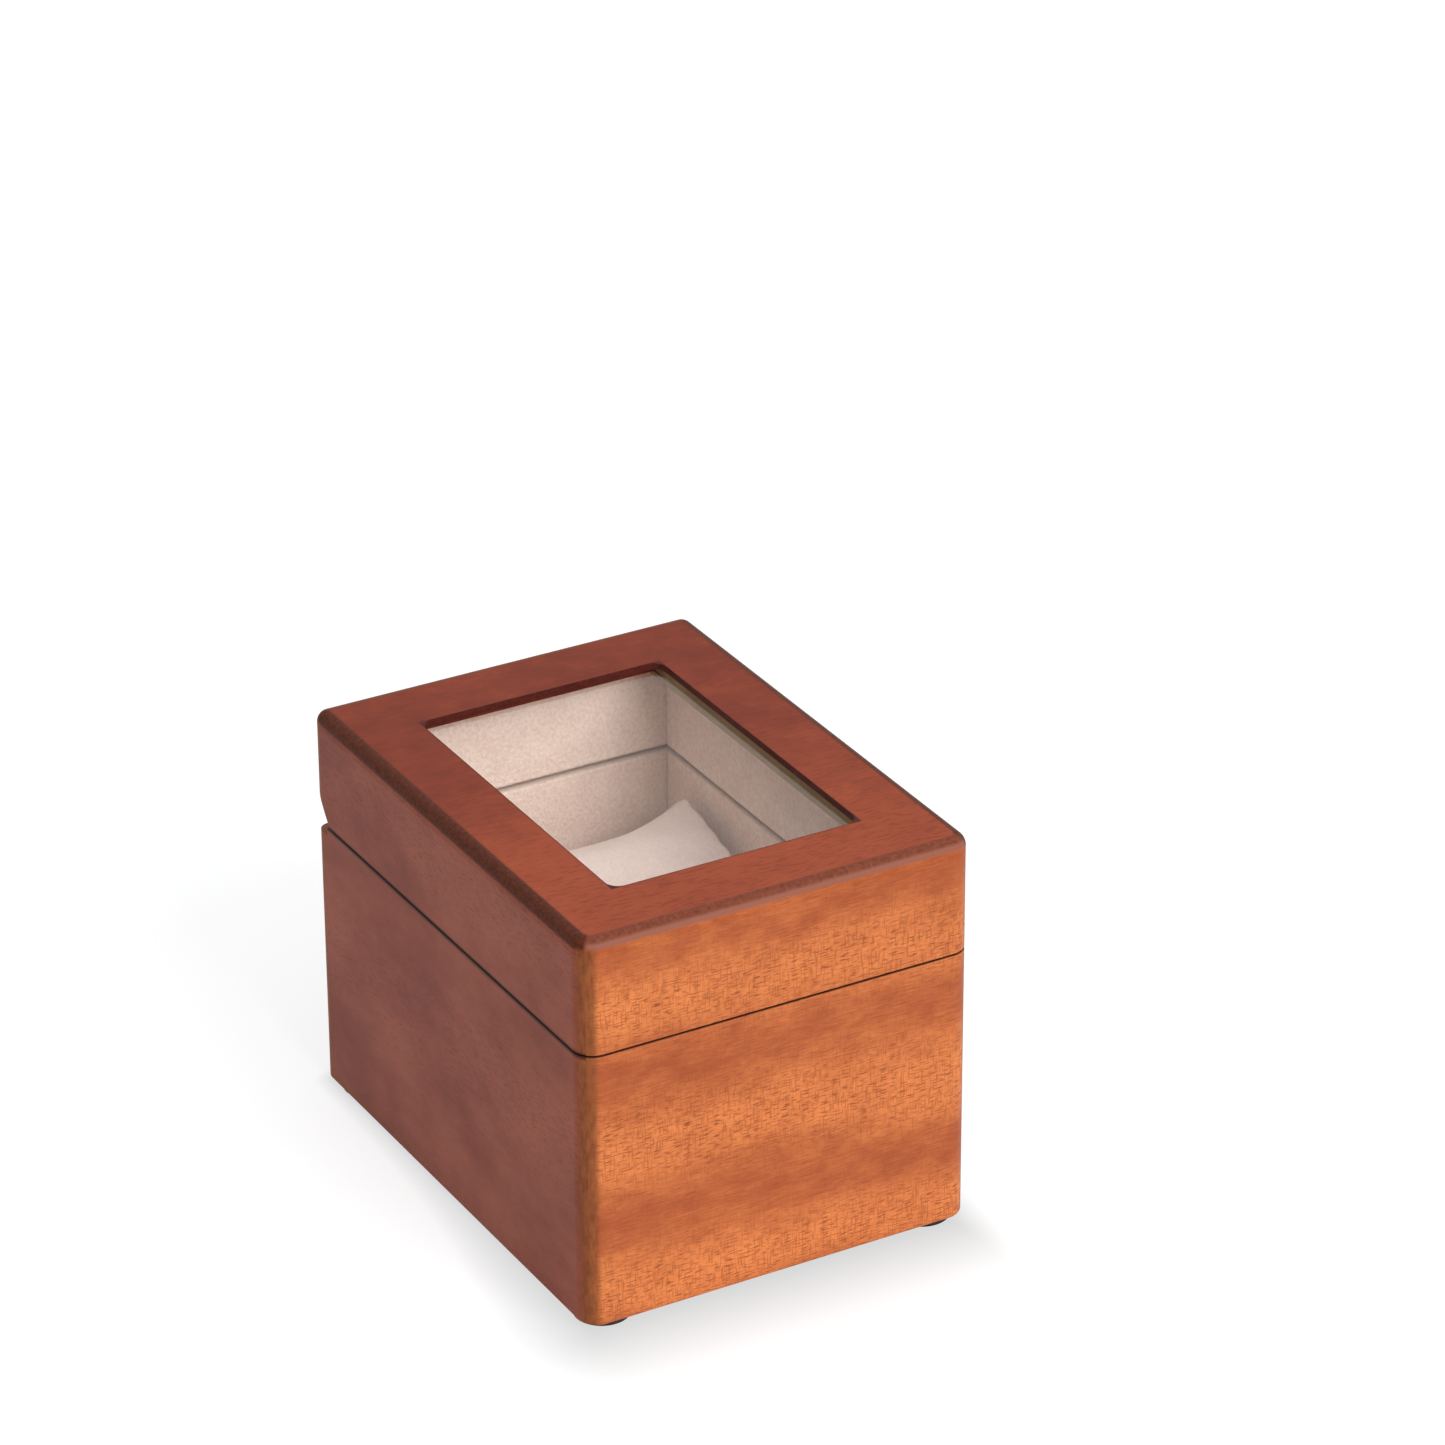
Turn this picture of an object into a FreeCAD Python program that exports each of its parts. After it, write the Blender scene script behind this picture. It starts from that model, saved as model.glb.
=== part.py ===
# Watch winder box: a hinged wooden box with a window in its lid. Two watch pillows turn on cradles in
# lined wells, driven by one gear motor and a belt. Millimetres, +Z up, front towards -Y, hinges at +Y.
# The origin is on the floor, under the middle of the box.
import FreeCAD
import Part
import math
import os
from types import SimpleNamespace

Vector = FreeCAD.Vector

SIZES = {
    # wooden box
    "box_width": "120",
    "box_depth": "158",
    "base_height": "83.5",
    "lid_height": "34.6",
    "seam_gap": "0.4",
    "wall": "9",
    "upright_radius": "6",
    "top_radius": "3.5",
    "back_upright_extra": "0.1",
    "bottom_radius": "1.2",
    "seam_chamfer": "0.3",
    "bottom_board": "5",
    "board_rebate": "4",
    "foot_height": "1.5",
    "foot_diameter": "16",
    "foot_inset": "9.5",
    # step and bevel along the back of the seam, cut deeper at the two corners
    "back_step_depth": "2.6",
    "back_step_height": "2.4",
    "back_bevel_depth": "3.7",
    "back_bevel_height": "9",
    "back_bevel_radius": "16",
    "corner_step_depth": "6.7",
    "corner_bevel_depth": "8.5",
    "corner_bevel_height": "13.5",
    "corner_bevel_radius": "60",
    # lid top, window and glass
    "top_thickness": "5",
    "side_rail": "21.8",
    "end_rail": "23.2",
    "window_radius": "4",
    "glass_thickness": "3",
    "glass_end_overlap": "4",
    "glass_side_overlap": "0.8",
    "retainer_depth": "1.4",
    "retainer_reveal": "0.3",
    "retainer_seat": "3.2",
    # suede linings
    "side_lining": "4.6",
    "end_lining": "2.8",
    "lining_setback": "0.2",
    "lining_edge": "1.3",
    # inner boards
    "drive_bay": "18",
    "partition": "3",
    "partition_lining": "2",
    "deck_drop": "6",
    "deck_board": "3",
    "deck_lining": "1.5",
    "floor_board": "2.5",
    "floor_lining": "1.5",
    "batten_width": "8",
    "divider_thickness": "5",
    "divider_height": "40",
    "divider_round": "2",
    # watch pillows
    "pillow_flare": "3.2",
    "waist_corner": "7",
    "ear_corner": "4",
    "waist_crown": "1.5",
    "ear_crown": "0.6",
    "arm_pocket": "5.5",
    # turning cradles
    "cradle_spacing": "68",
    "axis_drop": "0.25",
    "cradle_end_gap": "2.2",
    "plate_floor_gap": "4",
    "pillow_clearance": "2",
    "cradle_tilt": "14",
    "plate_thickness": "2",
    "plate_width": "24",
    "arm_thickness": "3",
    "arm_width": "18",
    "boss_radius": "5",
    "boss_length": "4",
    "shaft_radius": "3",
    "pivot_radius": "2",
    "pivot_depth": "6",
    "pivot_end_play": "0.5",
    "running_clearance": "0.05",
    "bush_wall": "1.5",
    "bush_flange_radius": "7",
    "bush_flange": "1.5",
    # belt drive
    "pulley_radius": "12",
    "motor_pulley_radius": "6",
    "pulley_flange": "1",
    "pulley_rim": "1.5",
    "pulley_gap": "1",
    "belt_width": "3.2",
    "belt_thickness": "1",
    "belt_clearance": "0.3",
    # gear motor
    "motor_shaft_radius": "1.5",
    "motor_shaft_depth": "4",
    "shaft_hole_clearance": "1",
    "gearbox_length": "9",
    "gearbox_width": "12",
    "gearbox_height": "10",
    "gearbox_gap": "0.5",
    "motor_length": "15",
    "motor_radius": "4.8",
    "motor_clearance": "1",
    "pulley_floor_gap": "0.5",
    "bracket_cheek": "1.5",
    "bracket_ear": "6",
    "bracket_screw_radius": "1",
    "bracket_screw_head": "2",
    "bracket_screw_head_height": "1.4",
    "bracket_screw_depth": "3.5",
    # control board
    "circuit_length": "40",
    "circuit_width": "30",
    "circuit_thickness": "1.6",
    "standoff_height": "4",
    "standoff_radius": "2.5",
    "standoff_inset": "4",
    "chip_side": "11",
    "chip_height": "1.8",
    "capacitor_radius": "3",
    "capacitor_height": "5",
    "plug_length": "9",
    "plug_width": "5",
    "plug_height": "4.5",
    # power jack
    "jack_height": "10",
    "jack_radius": "4",
    "jack_tail": "8",
    "jack_recess": "2.5",
    "jack_flange": "1.2",
    "jack_flange_radius": "5.5",
    "jack_flange_clearance": "0.3",
    "socket_radius": "2.75",
    "socket_depth": "9.5",
    "socket_pin_radius": "1",
    "nut_radius": "6",
    "nut_thickness": "2.5",
    # controls on the deck
    "control_inset": "5.4",
    "control_pitch": "22",
    "switch_depth": "5.5",
    "rocker_body_x": "9.4",
    "rocker_body_y": "14",
    "rocker_wall": "0.8",
    "rocker_flange": "1.2",
    "rocker_flange_edge": "1",
    "rocker_floor": "1",
    "paddle_clearance": "0.35",
    "paddle_play": "0.8",
    "paddle_rise": "2.6",
    "paddle_below": "1.5",
    "paddle_pin_radius": "0.9",
    "paddle_tilt": "8",
    "switch_body_side": "9",
    "switch_neck_radius": "3",
    "spindle_radius": "1.5",
    "spindle_depth": "3.5",
    "knob_radius": "5.2",
    "knob_height": "5",
    "knob_gap": "0.4",
    "knob_notch": "1",
    "lens_radius": "1.6",
    "lens_rise": "1",
    "lens_depth": "3",
    # hinges
    "hinge_margin": "2",
    "hinge_inset": "2.1",
    "hinge_length": "30",
    "barrel_radius": "2",
    "pin_radius": "1",
    "knuckle_gap": "0.3",
    "knuckle_clearance": "0.3",
    "leaf_width": "6.2",
    "leaf_thickness": "1",
    "screw_pitch": "20",
    "screw_inset": "2.4",
    "screw_head_radius": "1.7",
    "screw_head_height": "0.9",
    "screw_radius": "0.9",
    "screw_depth": "8",
    # how far a cutting form stands out of the face that it cuts
    "cut_margin": "1",
}

doc = FreeCAD.newDocument("watch_winder_box")
sheet = doc.addObject("Spreadsheet::Sheet", "Sizes")
for row, (alias, number) in enumerate(SIZES.items(), start=1):
    sheet.set(f"A{row}", alias)
    sheet.set(f"B{row}", number)
    sheet.setAlias(f"B{row}", alias)
doc.recompute()


class Size:
    """A length: its text is an expression on the sheet, its value the same length in millimetres."""

    def __init__(self, text, value):
        self.text = text
        self.value = value

    def __add__(self, other):
        other = as_size(other)
        return Size(f"({self.text} + {other.text})", self.value + other.value)

    def __sub__(self, other):
        other = as_size(other)
        return Size(f"({self.text} - {other.text})", self.value - other.value)

    def __mul__(self, other):
        other = as_size(other)
        return Size(f"({self.text} * {other.text})", self.value * other.value)

    def __truediv__(self, other):
        other = as_size(other)
        return Size(f"({self.text} / {other.text})", self.value / other.value)

    def __neg__(self):
        return Size(f"(-{self.text})", -self.value)


def as_size(length):
    if isinstance(length, Size):
        return length
    return Size(f"({length})", float(length))


def square_root(length):
    return Size(f"sqrt({length.text})", math.sqrt(length.value))


size = SimpleNamespace(**{alias: Size(f"Sizes.{alias}", float(sheet.get(alias))) for alias in SIZES})
over = size.cut_margin
middle = as_size(0)
same_place = 0.001


def around(centre, half):
    """The span that reaches half a length to each side of a centre."""
    return (centre - half, centre + half)


def bind(thing, **lengths):
    for name, length in lengths.items():
        thing.setExpression(name, as_size(length).text)


def place(thing, x, y, z):
    for axis, length in zip("xyz", (x, y, z)):
        thing.setExpression(f"Placement.Base.{axis}", as_size(length).text)


def block(name, x, y, z):
    """A block over a span along each of X, Y and Z."""
    thing = doc.addObject("Part::Box", name)
    bind(thing, Length=x[1] - x[0], Width=y[1] - y[0], Height=z[1] - z[0])
    place(thing, x[0], y[0], z[0])
    return thing


TURN_FROM_Z = {
    "x": FreeCAD.Rotation(Vector(0, 1, 0), 90),
    "y": FreeCAD.Rotation(Vector(1, 0, 0), -90),
    "z": FreeCAD.Rotation(),
}


def stand_along(thing, axis, start, centre):
    """Turns a form that was made along Z to another axis. centre holds its other two coordinates."""
    thing.Placement = FreeCAD.Placement(Vector(), TURN_FROM_Z[axis])
    corner = list(centre)
    corner.insert("xyz".index(axis), start)
    place(thing, *corner)


def rod(name, axis, span, centre, radius):
    """A round rod over a span along one axis."""
    thing = doc.addObject("Part::Cylinder", name)
    bind(thing, Radius=radius, Height=span[1] - span[0])
    stand_along(thing, axis, span[0], centre)
    return thing


def taper(name, span, centre, low_radius, high_radius):
    """A cone along Z."""
    thing = doc.addObject("Part::Cone", name)
    bind(thing, Radius1=low_radius, Radius2=high_radius, Height=span[1] - span[0])
    stand_along(thing, "z", span[0], centre)
    return thing


def fuse(name, *pieces):
    thing = doc.addObject("Part::MultiFuse", name)
    thing.Shapes = list(pieces)
    thing.Refine = True
    return thing


def cut(name, base, *tools):
    thing = doc.addObject("Part::Cut", name)
    thing.Base = base
    thing.Tool = tools[0] if len(tools) == 1 else fuse(f"{name}_cutters", *tools)
    thing.Refine = True
    return thing


def common(name, first, second):
    thing = doc.addObject("Part::Common", name)
    thing.Base = first
    thing.Tool = second
    thing.Refine = True
    return thing


def group(name, pieces):
    """Separate solids of one kind, kept together as one sub-part."""
    thing = doc.addObject("Part::Compound", name)
    thing.Links = list(pieces)
    return thing


def upright(edge):
    first, last = edge.Vertexes[0].Point, edge.Vertexes[-1].Point
    return math.hypot(first.x - last.x, first.y - last.y) < same_place


def front_upright(edge):
    return upright(edge) and edge.Vertexes[0].Point.y < 0


def back_upright(edge):
    return upright(edge) and edge.Vertexes[0].Point.y > 0


def in_plane(axis, level):
    """Chooses the edges that lie where one axis has the given value."""

    def chosen(edge):
        return all(abs(getattr(corner.Point, axis) - level.value) < same_place for corner in edge.Vertexes)

    return chosen


def finished_block(name, x, y, z, *finishes):
    """A block whose chosen edges are rounded or bevelled, one finish after another."""
    body = doc.addObject("PartDesign::Body", name)
    thing = body.newObject("PartDesign::AdditiveBox", f"{name}_blank")
    bind(thing, Length=x[1] - x[0], Width=y[1] - y[0], Height=z[1] - z[0])
    place(thing, x[0], y[0], z[0])
    for kind, length, chosen in finishes:
        doc.recompute()
        edges = [f"Edge{index}" for index, edge in enumerate(thing.Shape.Edges, start=1) if chosen(edge)]
        finish = body.newObject(f"PartDesign::{kind}", f"{name}_finish_{len(body.Group)}")
        finish.Base = (thing, edges)
        bind(finish, **{"Radius" if kind == "Fillet" else "Size": length})
        thing = finish
    body.Tip = thing
    return body


nodes = []


def keep(thing, solids=1):
    """Counts an object as a finished sub-part of so many separate solids."""
    thing.Label = thing.Name
    nodes.append((thing, solids))
    return thing


# Places that several sub-parts share
x_out = size.box_width / 2
y_out = size.box_depth / 2
x_in = x_out - size.wall
y_in = y_out - size.wall
base_low = size.foot_height
base_top = base_low + size.base_height
lid_low = base_top + size.seam_gap
lid_top = lid_low + size.lid_height
frame_low = lid_top - size.top_thickness
board_top = base_low + size.bottom_board
motor_z = board_top + size.motor_pulley_radius + size.pulley_rim + size.pulley_floor_gap
gearbox_low = motor_z - size.gearbox_height / 2
gearbox_top = motor_z + size.gearbox_height / 2
floor_low = gearbox_top + size.motor_clearance
floor_top = floor_low + size.floor_board
well_floor = floor_top + size.floor_lining
partition_left = size.drive_bay - x_in
partition_right = partition_left + size.partition
well_left = partition_right + size.partition_lining
well_right = x_in - size.side_lining
well_back = y_in - size.end_lining
lining_top = base_top - size.lining_setback
deck_top = base_top - size.deck_drop
deck_board_top = deck_top - size.deck_lining
deck_low = deck_board_top - size.deck_board
cradle_y = size.cradle_spacing / 2
axis_z = (well_floor + base_top) / 2 - size.axis_drop
full_width = around(middle, x_in)
full_depth = around(middle, y_in)
well_width = (well_left, well_right)
well_depth = around(middle, well_back)
SIDES = (("left", -1), ("right", 1))
CRADLES = (("rear", 1), ("front", -1))
WALLS = (
    ("front", 0, x_out, y_out),
    ("right", 90, y_out, x_out),
    ("back", 180, x_out, y_out),
    ("left", -90, y_out, x_out),
)


def mitred_wall(name, form, turn, run, reach, z):
    """One wall of a box form, mitred at both ends. run is half its length outside, reach is how far
    its outer face is from the middle of the box, and turn brings it round from the front."""
    wedge = doc.addObject("Part::Wedge", f"{name}_mitre")
    bind(wedge, Xmin=-run, Xmax=run, X2min=size.wall - run, X2max=run - size.wall)
    bind(wedge, Ymin=-reach, Ymax=size.wall - reach)
    bind(wedge, Zmin=z[0], Zmax=z[1], Z2min=z[0], Z2max=z[1])
    wedge.Placement = FreeCAD.Placement(Vector(), FreeCAD.Rotation(Vector(0, 0, 1), turn))
    return common(name, form, wedge)


# Hinges: brass butt hinges let into the step at the back of the seam, three knuckles on each pin
hinge_y = y_out - size.hinge_inset
hinge_z = (base_top + lid_low) / 2
leaf_front = hinge_y - size.leaf_width
knuckle = (size.hinge_length - size.knuckle_gap * 2) / 3
hinge_centre = (hinge_y, hinge_z)
slot_radius = size.barrel_radius + size.knuckle_clearance
base_leaves = []
lid_leaves = []
hinge_pins = []
base_screws = []
lid_screws = []
base_mortises = []
lid_mortises = []
for side, sign in SIDES:
    hinge_x = (x_in - size.hinge_margin - size.hinge_length / 2) * sign
    length = around(hinge_x, size.hinge_length / 2)
    inner = around(hinge_x, knuckle / 2)
    inner_room = around(hinge_x, knuckle / 2 + size.knuckle_gap)
    outer_low = (length[0], inner_room[0])
    outer_high = (inner_room[1], length[1])
    leaf_y = (leaf_front, hinge_y)
    base_leaf_z = (base_top - size.leaf_thickness, base_top)
    lid_leaf_z = (lid_low, lid_low + size.leaf_thickness)
    screw_y = leaf_front + size.screw_inset

    for end, end_sign in SIDES:
        spot = (hinge_x + size.screw_pitch / 2 * end_sign, screw_y)
        neck = base_top - size.screw_head_height
        name = f"{side}_{end}_base_screw"
        head = taper(f"{name}_head", (neck, base_top), spot, size.screw_radius, size.screw_head_radius)
        shank = rod(f"{name}_shank", "z", (neck - size.screw_depth, neck), spot, size.screw_radius)
        base_screws.append(fuse(name, head, shank))
        neck = lid_low + size.screw_head_height
        name = f"{side}_{end}_lid_screw"
        head = taper(f"{name}_head", (lid_low, neck), spot, size.screw_head_radius, size.screw_radius)
        shank = rod(f"{name}_shank", "z", (neck, neck + size.screw_depth), spot, size.screw_radius)
        lid_screws.append(fuse(name, head, shank))

    name = f"{side}_base_leaf"
    plate = block(f"{name}_plate", length, leaf_y, base_leaf_z)
    knuckles = [
        rod(f"{name}_knuckle_{index}", "x", span, hinge_centre, size.barrel_radius)
        for index, span in enumerate((outer_low, outer_high))
    ]
    room = rod(f"{name}_room", "x", inner_room, hinge_centre, slot_radius)
    bore = rod(f"{name}_bore", "x", length, hinge_centre, size.pin_radius)
    solid = cut(f"{name}_plate_cut", plate, room)
    base_leaves.append(cut(name, fuse(f"{name}_solid", solid, *knuckles), bore, *base_screws[-2:]))

    name = f"{side}_lid_leaf"
    plate = block(f"{name}_plate", length, leaf_y, lid_leaf_z)
    knuckle_rod = rod(f"{name}_knuckle", "x", inner, hinge_centre, size.barrel_radius)
    outer_room = ((length[0] - over, inner[0]), (inner[1], length[1] + over))
    rooms = [
        rod(f"{name}_room_{index}", "x", span, hinge_centre, slot_radius)
        for index, span in enumerate(outer_room)
    ]
    bore_radius = size.pin_radius + size.running_clearance
    bore = rod(f"{name}_bore", "x", length, hinge_centre, bore_radius)
    solid = cut(f"{name}_plate_cut", plate, *rooms)
    lid_leaves.append(cut(name, fuse(f"{name}_solid", solid, knuckle_rod), bore, *lid_screws[-2:]))

    hinge_pins.append(rod(f"{side}_hinge_pin", "x", length, hinge_centre, size.pin_radius))
    slot_length = around(hinge_x, size.hinge_length / 2 + size.knuckle_gap)
    slot = rod(f"{side}_barrel_slot", "x", slot_length, hinge_centre, slot_radius)
    base_mortises += [block(f"{side}_base_mortise", length, leaf_y, base_leaf_z), slot]
    lid_mortises += [block(f"{side}_lid_mortise", length, leaf_y, lid_leaf_z), slot]

keep(group("hinge_base_leaves", base_leaves), len(base_leaves))
keep(group("hinge_lid_leaves", lid_leaves), len(lid_leaves))
keep(group("hinge_pins", hinge_pins), len(hinge_pins))
keep(group("hinge_base_screws", base_screws), len(base_screws))
keep(group("hinge_lid_screws", lid_screws), len(lid_screws))


# Places in a cradle. From the shaft bush inwards come the boss, the arm and the end of the pillow, and
# from the well's floor upwards the plate, the clearance and the pillow's ear
pillow_mid = (well_left + well_right) / 2
boss_end = well_left + size.cradle_end_gap
arm_left = boss_end + size.boss_length
pocket_left = arm_left + size.arm_thickness
ear_left = pocket_left - size.arm_pocket
ear_right = pillow_mid * 2 - ear_left
pocket_right = ear_right - size.arm_pocket
arm_right = pocket_right + size.arm_thickness
plate_low = well_floor + size.plate_floor_gap
plate_top = plate_low + size.plate_thickness
ear_half = axis_z - plate_top - size.pillow_clearance
waist_half = ear_half - size.pillow_flare


# Watch pillows: stuffed suede cushions, drawn in at the waist, with four ears at each end. Each end has a
# pocket for an arm of the cradle
def pillow_section(x, half, corner, crown):
    """A square section with bulged sides and round corners, at one place along the pillow."""
    reach = half - corner
    corner_mid = half - corner * (1 - math.sqrt(0.5))
    edges = []
    for quarter in range(4):
        turn = FreeCAD.Rotation(Vector(1, 0, 0), 90 * quarter)
        side = [(-reach, half), (0, half + crown), (reach, half)]
        bend = [(reach, half), (corner_mid, corner_mid), (half, reach)]
        for points in (bend, side):
            arc = [turn.multVec(Vector(x, across, up)) for across, up in points]
            edges.append(Part.Arc(*arc).toShape())
    return Part.Wire(Part.__sortEdges__(edges))


def pillow_loft():
    half_length = (ear_right - ear_left).value / 2
    stations = (-1, -0.55, 0, 0.55, 1)
    wires = []
    for station in stations:
        flare = abs(station) ** 3
        half = waist_half.value + flare * size.pillow_flare.value
        corner = size.waist_corner.value + flare * (size.ear_corner.value - size.waist_corner.value)
        crown = size.waist_crown.value + flare * (size.ear_crown.value - size.waist_crown.value)
        wires.append(pillow_section(station * half_length, half, corner, crown))
    return Part.makeLoft(wires, True, False)


def arm_form(name, x):
    """The round-topped upright of a cradle arm, from the plate's level up to the turning axis."""
    post = block(f"{name}_post", x, around(middle, size.arm_width / 2), (plate_low - axis_z, middle))
    return fuse(name, post, rod(f"{name}_end", "x", x, (middle, middle), size.arm_width / 2))


def hang(thing, y):
    """Sets a piece that is modelled about the turning axis in its well, as far round as it has stopped."""
    tilt = FreeCAD.Rotation(Vector(1, 0, 0), size.cradle_tilt.value)
    thing.Placement = FreeCAD.Placement(Vector(), tilt)
    place(thing, middle, y, axis_z)
    return thing


for name, sign in CRADLES:
    form = doc.addObject("Part::Feature", f"{name}_pillow_form")
    form.Shape = pillow_loft()
    place(form, pillow_mid, middle, middle)
    left = arm_form(f"{name}_left_pocket", (ear_left - over, pocket_left))
    right = arm_form(f"{name}_right_pocket", (pocket_right, ear_right + over))
    keep(hang(cut(f"{name}_pillow", form, left, right), cradle_y * sign))


# Cradles: a moulded yoke holds each pillow by its ends. The left arm carries the steel drive shaft, the
# right arm has a pivot moulded on
pulley_half = size.belt_width / 2 + size.belt_clearance + size.pulley_flange
pulley_mid = pulley_half + size.pulley_gap - x_in
shaft_end = pulley_mid - pulley_half
bush_radius = size.shaft_radius + size.running_clearance + size.bush_wall
pivot_bush_radius = size.pivot_radius + size.running_clearance + size.bush_wall
pivot_span = (x_in, x_in + size.pivot_depth)


def belt_pulley(name, centre, radius, bore_radius):
    """A flanged belt pulley on a shaft along X."""
    drum = rod(f"{name}_drum", "x", around(pulley_mid, pulley_half), centre, radius)
    rim_radius = radius + size.pulley_rim
    left = (pulley_mid - pulley_half, pulley_mid - pulley_half + size.pulley_flange)
    right = (pulley_mid + pulley_half - size.pulley_flange, pulley_mid + pulley_half)
    left_rim = rod(f"{name}_left_rim", "x", left, centre, rim_radius)
    right_rim = rod(f"{name}_right_rim", "x", right, centre, rim_radius)
    bore = rod(f"{name}_bore", "x", around(pulley_mid, pulley_half + over), centre, bore_radius)
    return cut(name, fuse(f"{name}_solid", drum, left_rim, right_rim), bore)


shaft_bushes = []
pivot_bushes = []
bush_holes = []
pivot_holes = []
for name, sign in CRADLES:
    y = cradle_y * sign
    centre = (y, axis_z)
    boss_x = (boss_end, arm_left)
    stub_x = (arm_right, x_in + size.pivot_depth - size.pivot_end_play)
    plate_y = around(middle, size.plate_width / 2)
    plate_z = (plate_low - axis_z, plate_top - axis_z)
    yoke = fuse(
        f"{name}_yoke_solid",
        block(f"{name}_plate", (arm_left, arm_right), plate_y, plate_z),
        arm_form(f"{name}_left_arm", (arm_left, pocket_left)),
        rod(f"{name}_boss", "x", boss_x, (middle, middle), size.boss_radius),
        arm_form(f"{name}_right_arm", (pocket_right, arm_right)),
        rod(f"{name}_pivot", "x", stub_x, (middle, middle), size.pivot_radius),
    )
    boss_bore = rod(f"{name}_boss_bore", "x", boss_x, (middle, middle), size.shaft_radius)
    keep(hang(cut(f"{name}_cradle_yoke", yoke, boss_bore), y))
    keep(rod(f"{name}_cradle_shaft", "x", (shaft_end, arm_left), centre, size.shaft_radius))
    keep(belt_pulley(f"{name}_cradle_pulley", centre, size.pulley_radius, size.shaft_radius))

    sleeve_x = (partition_left, well_left)
    flange_x = (partition_left - size.bush_flange, partition_left)
    sleeve = rod(f"{name}_bush_sleeve", "x", sleeve_x, centre, bush_radius)
    flange = rod(f"{name}_bush_flange", "x", flange_x, centre, size.bush_flange_radius)
    bore_x = (flange_x[0] - over, well_left + over)
    bore = rod(f"{name}_bush_bore", "x", bore_x, centre, size.shaft_radius + size.running_clearance)
    shaft_bushes.append(cut(f"{name}_shaft_bush", fuse(f"{name}_bush_solid", sleeve, flange), bore))
    bush_holes.append(sleeve)

    pivot_sleeve = rod(f"{name}_pivot_sleeve", "x", pivot_span, centre, pivot_bush_radius)
    bore_radius = size.pivot_radius + size.running_clearance
    pivot_bore = rod(f"{name}_pivot_bore", "x", pivot_span, centre, bore_radius)
    pivot_bushes.append(cut(f"{name}_pivot_bush", pivot_sleeve, pivot_bore))
    hole_x = (well_right - over, x_in + size.pivot_depth)
    pivot_holes.append(rod(f"{name}_pivot_hole", "x", hole_x, centre, pivot_bush_radius))

keep(group("shaft_bushes", shaft_bushes), len(shaft_bushes))
keep(group("pivot_bushes", pivot_bushes), len(pivot_bushes))


# Gear motor under the false floor, with its pulley in the drive bay beyond the partition
motor_centre = (middle, motor_z)
gearbox_x = (partition_right + size.gearbox_gap, partition_right + size.gearbox_gap + size.gearbox_length)
gearbox_half = size.gearbox_width / 2
motor_x = (gearbox_x[1], gearbox_x[1] + size.motor_length)
motor_shaft_x = (shaft_end, gearbox_x[0] + size.motor_shaft_depth)
shaft_hole_radius = size.motor_shaft_radius + size.shaft_hole_clearance
gearbox_bore_radius = size.motor_shaft_radius + size.running_clearance
gearbox_case = block("gearbox_case", gearbox_x, around(middle, gearbox_half), (gearbox_low, gearbox_top))
gearbox_bore_x = (gearbox_x[0] - over, motor_shaft_x[1])
gearbox_bore = rod("gearbox_bore", "x", gearbox_bore_x, motor_centre, gearbox_bore_radius)
keep(cut("motor_gearbox", gearbox_case, gearbox_bore))
keep(rod("gear_motor", "x", motor_x, motor_centre, size.motor_radius))
keep(rod("motor_shaft", "x", motor_shaft_x, motor_centre, size.motor_shaft_radius))
keep(belt_pulley("motor_pulley", motor_centre, size.motor_pulley_radius, size.motor_shaft_radius))

cheek_out = gearbox_half + size.bracket_cheek
ear_out = cheek_out + size.bracket_ear
bracket_pieces = [block("bracket_plate", gearbox_x, around(middle, ear_out), (board_top, gearbox_low))]
bracket_screws = []
shank_holes = []
for side, sign in SIDES:
    cheek_y = around((gearbox_half + cheek_out) / 2 * sign, size.bracket_cheek / 2)
    bracket_pieces.append(block(f"{side}_cheek", gearbox_x, cheek_y, (gearbox_low, gearbox_top)))
    spot = ((gearbox_x[0] + gearbox_x[1]) / 2, (cheek_out + ear_out) / 2 * sign)
    shank_z = (board_top - size.bracket_screw_depth, gearbox_low)
    head_z = (gearbox_low, gearbox_low + size.bracket_screw_head_height)
    shank = rod(f"{side}_bracket_shank", "z", shank_z, spot, size.bracket_screw_radius)
    head = rod(f"{side}_bracket_head", "z", head_z, spot, size.bracket_screw_head)
    bracket_screws.append(fuse(f"{side}_bracket_screw", shank, head))
    shank_holes.append(shank)
keep(cut("motor_bracket", fuse("bracket_solid", *bracket_pieces), *shank_holes))
keep(group("bracket_screws", bracket_screws), len(bracket_screws))


# Drive belt: one flat loop round the motor pulley and both cradle pulleys, just clear of their drums
def belt_loop(spread):
    """The loop that runs at a distance from the three drums, in the plane of the pulleys' left rims."""
    plane = (pulley_mid - size.belt_width / 2).value
    wheels = [
        (Vector(plane, 0, motor_z.value), size.motor_pulley_radius.value + spread),
        (Vector(plane, cradle_y.value, axis_z.value), size.pulley_radius.value + spread),
        (Vector(plane, -cradle_y.value, axis_z.value), size.pulley_radius.value + spread),
    ]
    normals = []
    for (start, start_radius), (end, end_radius) in zip(wheels, wheels[1:] + wheels[:1]):
        along = end - start
        lean = (start_radius - end_radius) / along.Length
        along.normalize()
        outward = along.cross(Vector(1, 0, 0))
        normals.append(along * lean + outward * math.sqrt(1 - lean ** 2))
    edges = []
    for index, (centre, radius) in enumerate(wheels):
        into, away = normals[index - 1], normals[index]
        halfway = (into + away).normalize()
        arc = Part.Arc(centre + into * radius, centre + halfway * radius, centre + away * radius)
        next_centre, next_radius = wheels[(index + 1) % len(wheels)]
        run = Part.LineSegment(centre + away * radius, next_centre + away * next_radius)
        edges += [arc.toShape(), run.toShape()]
    return Part.Wire(edges)


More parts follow.
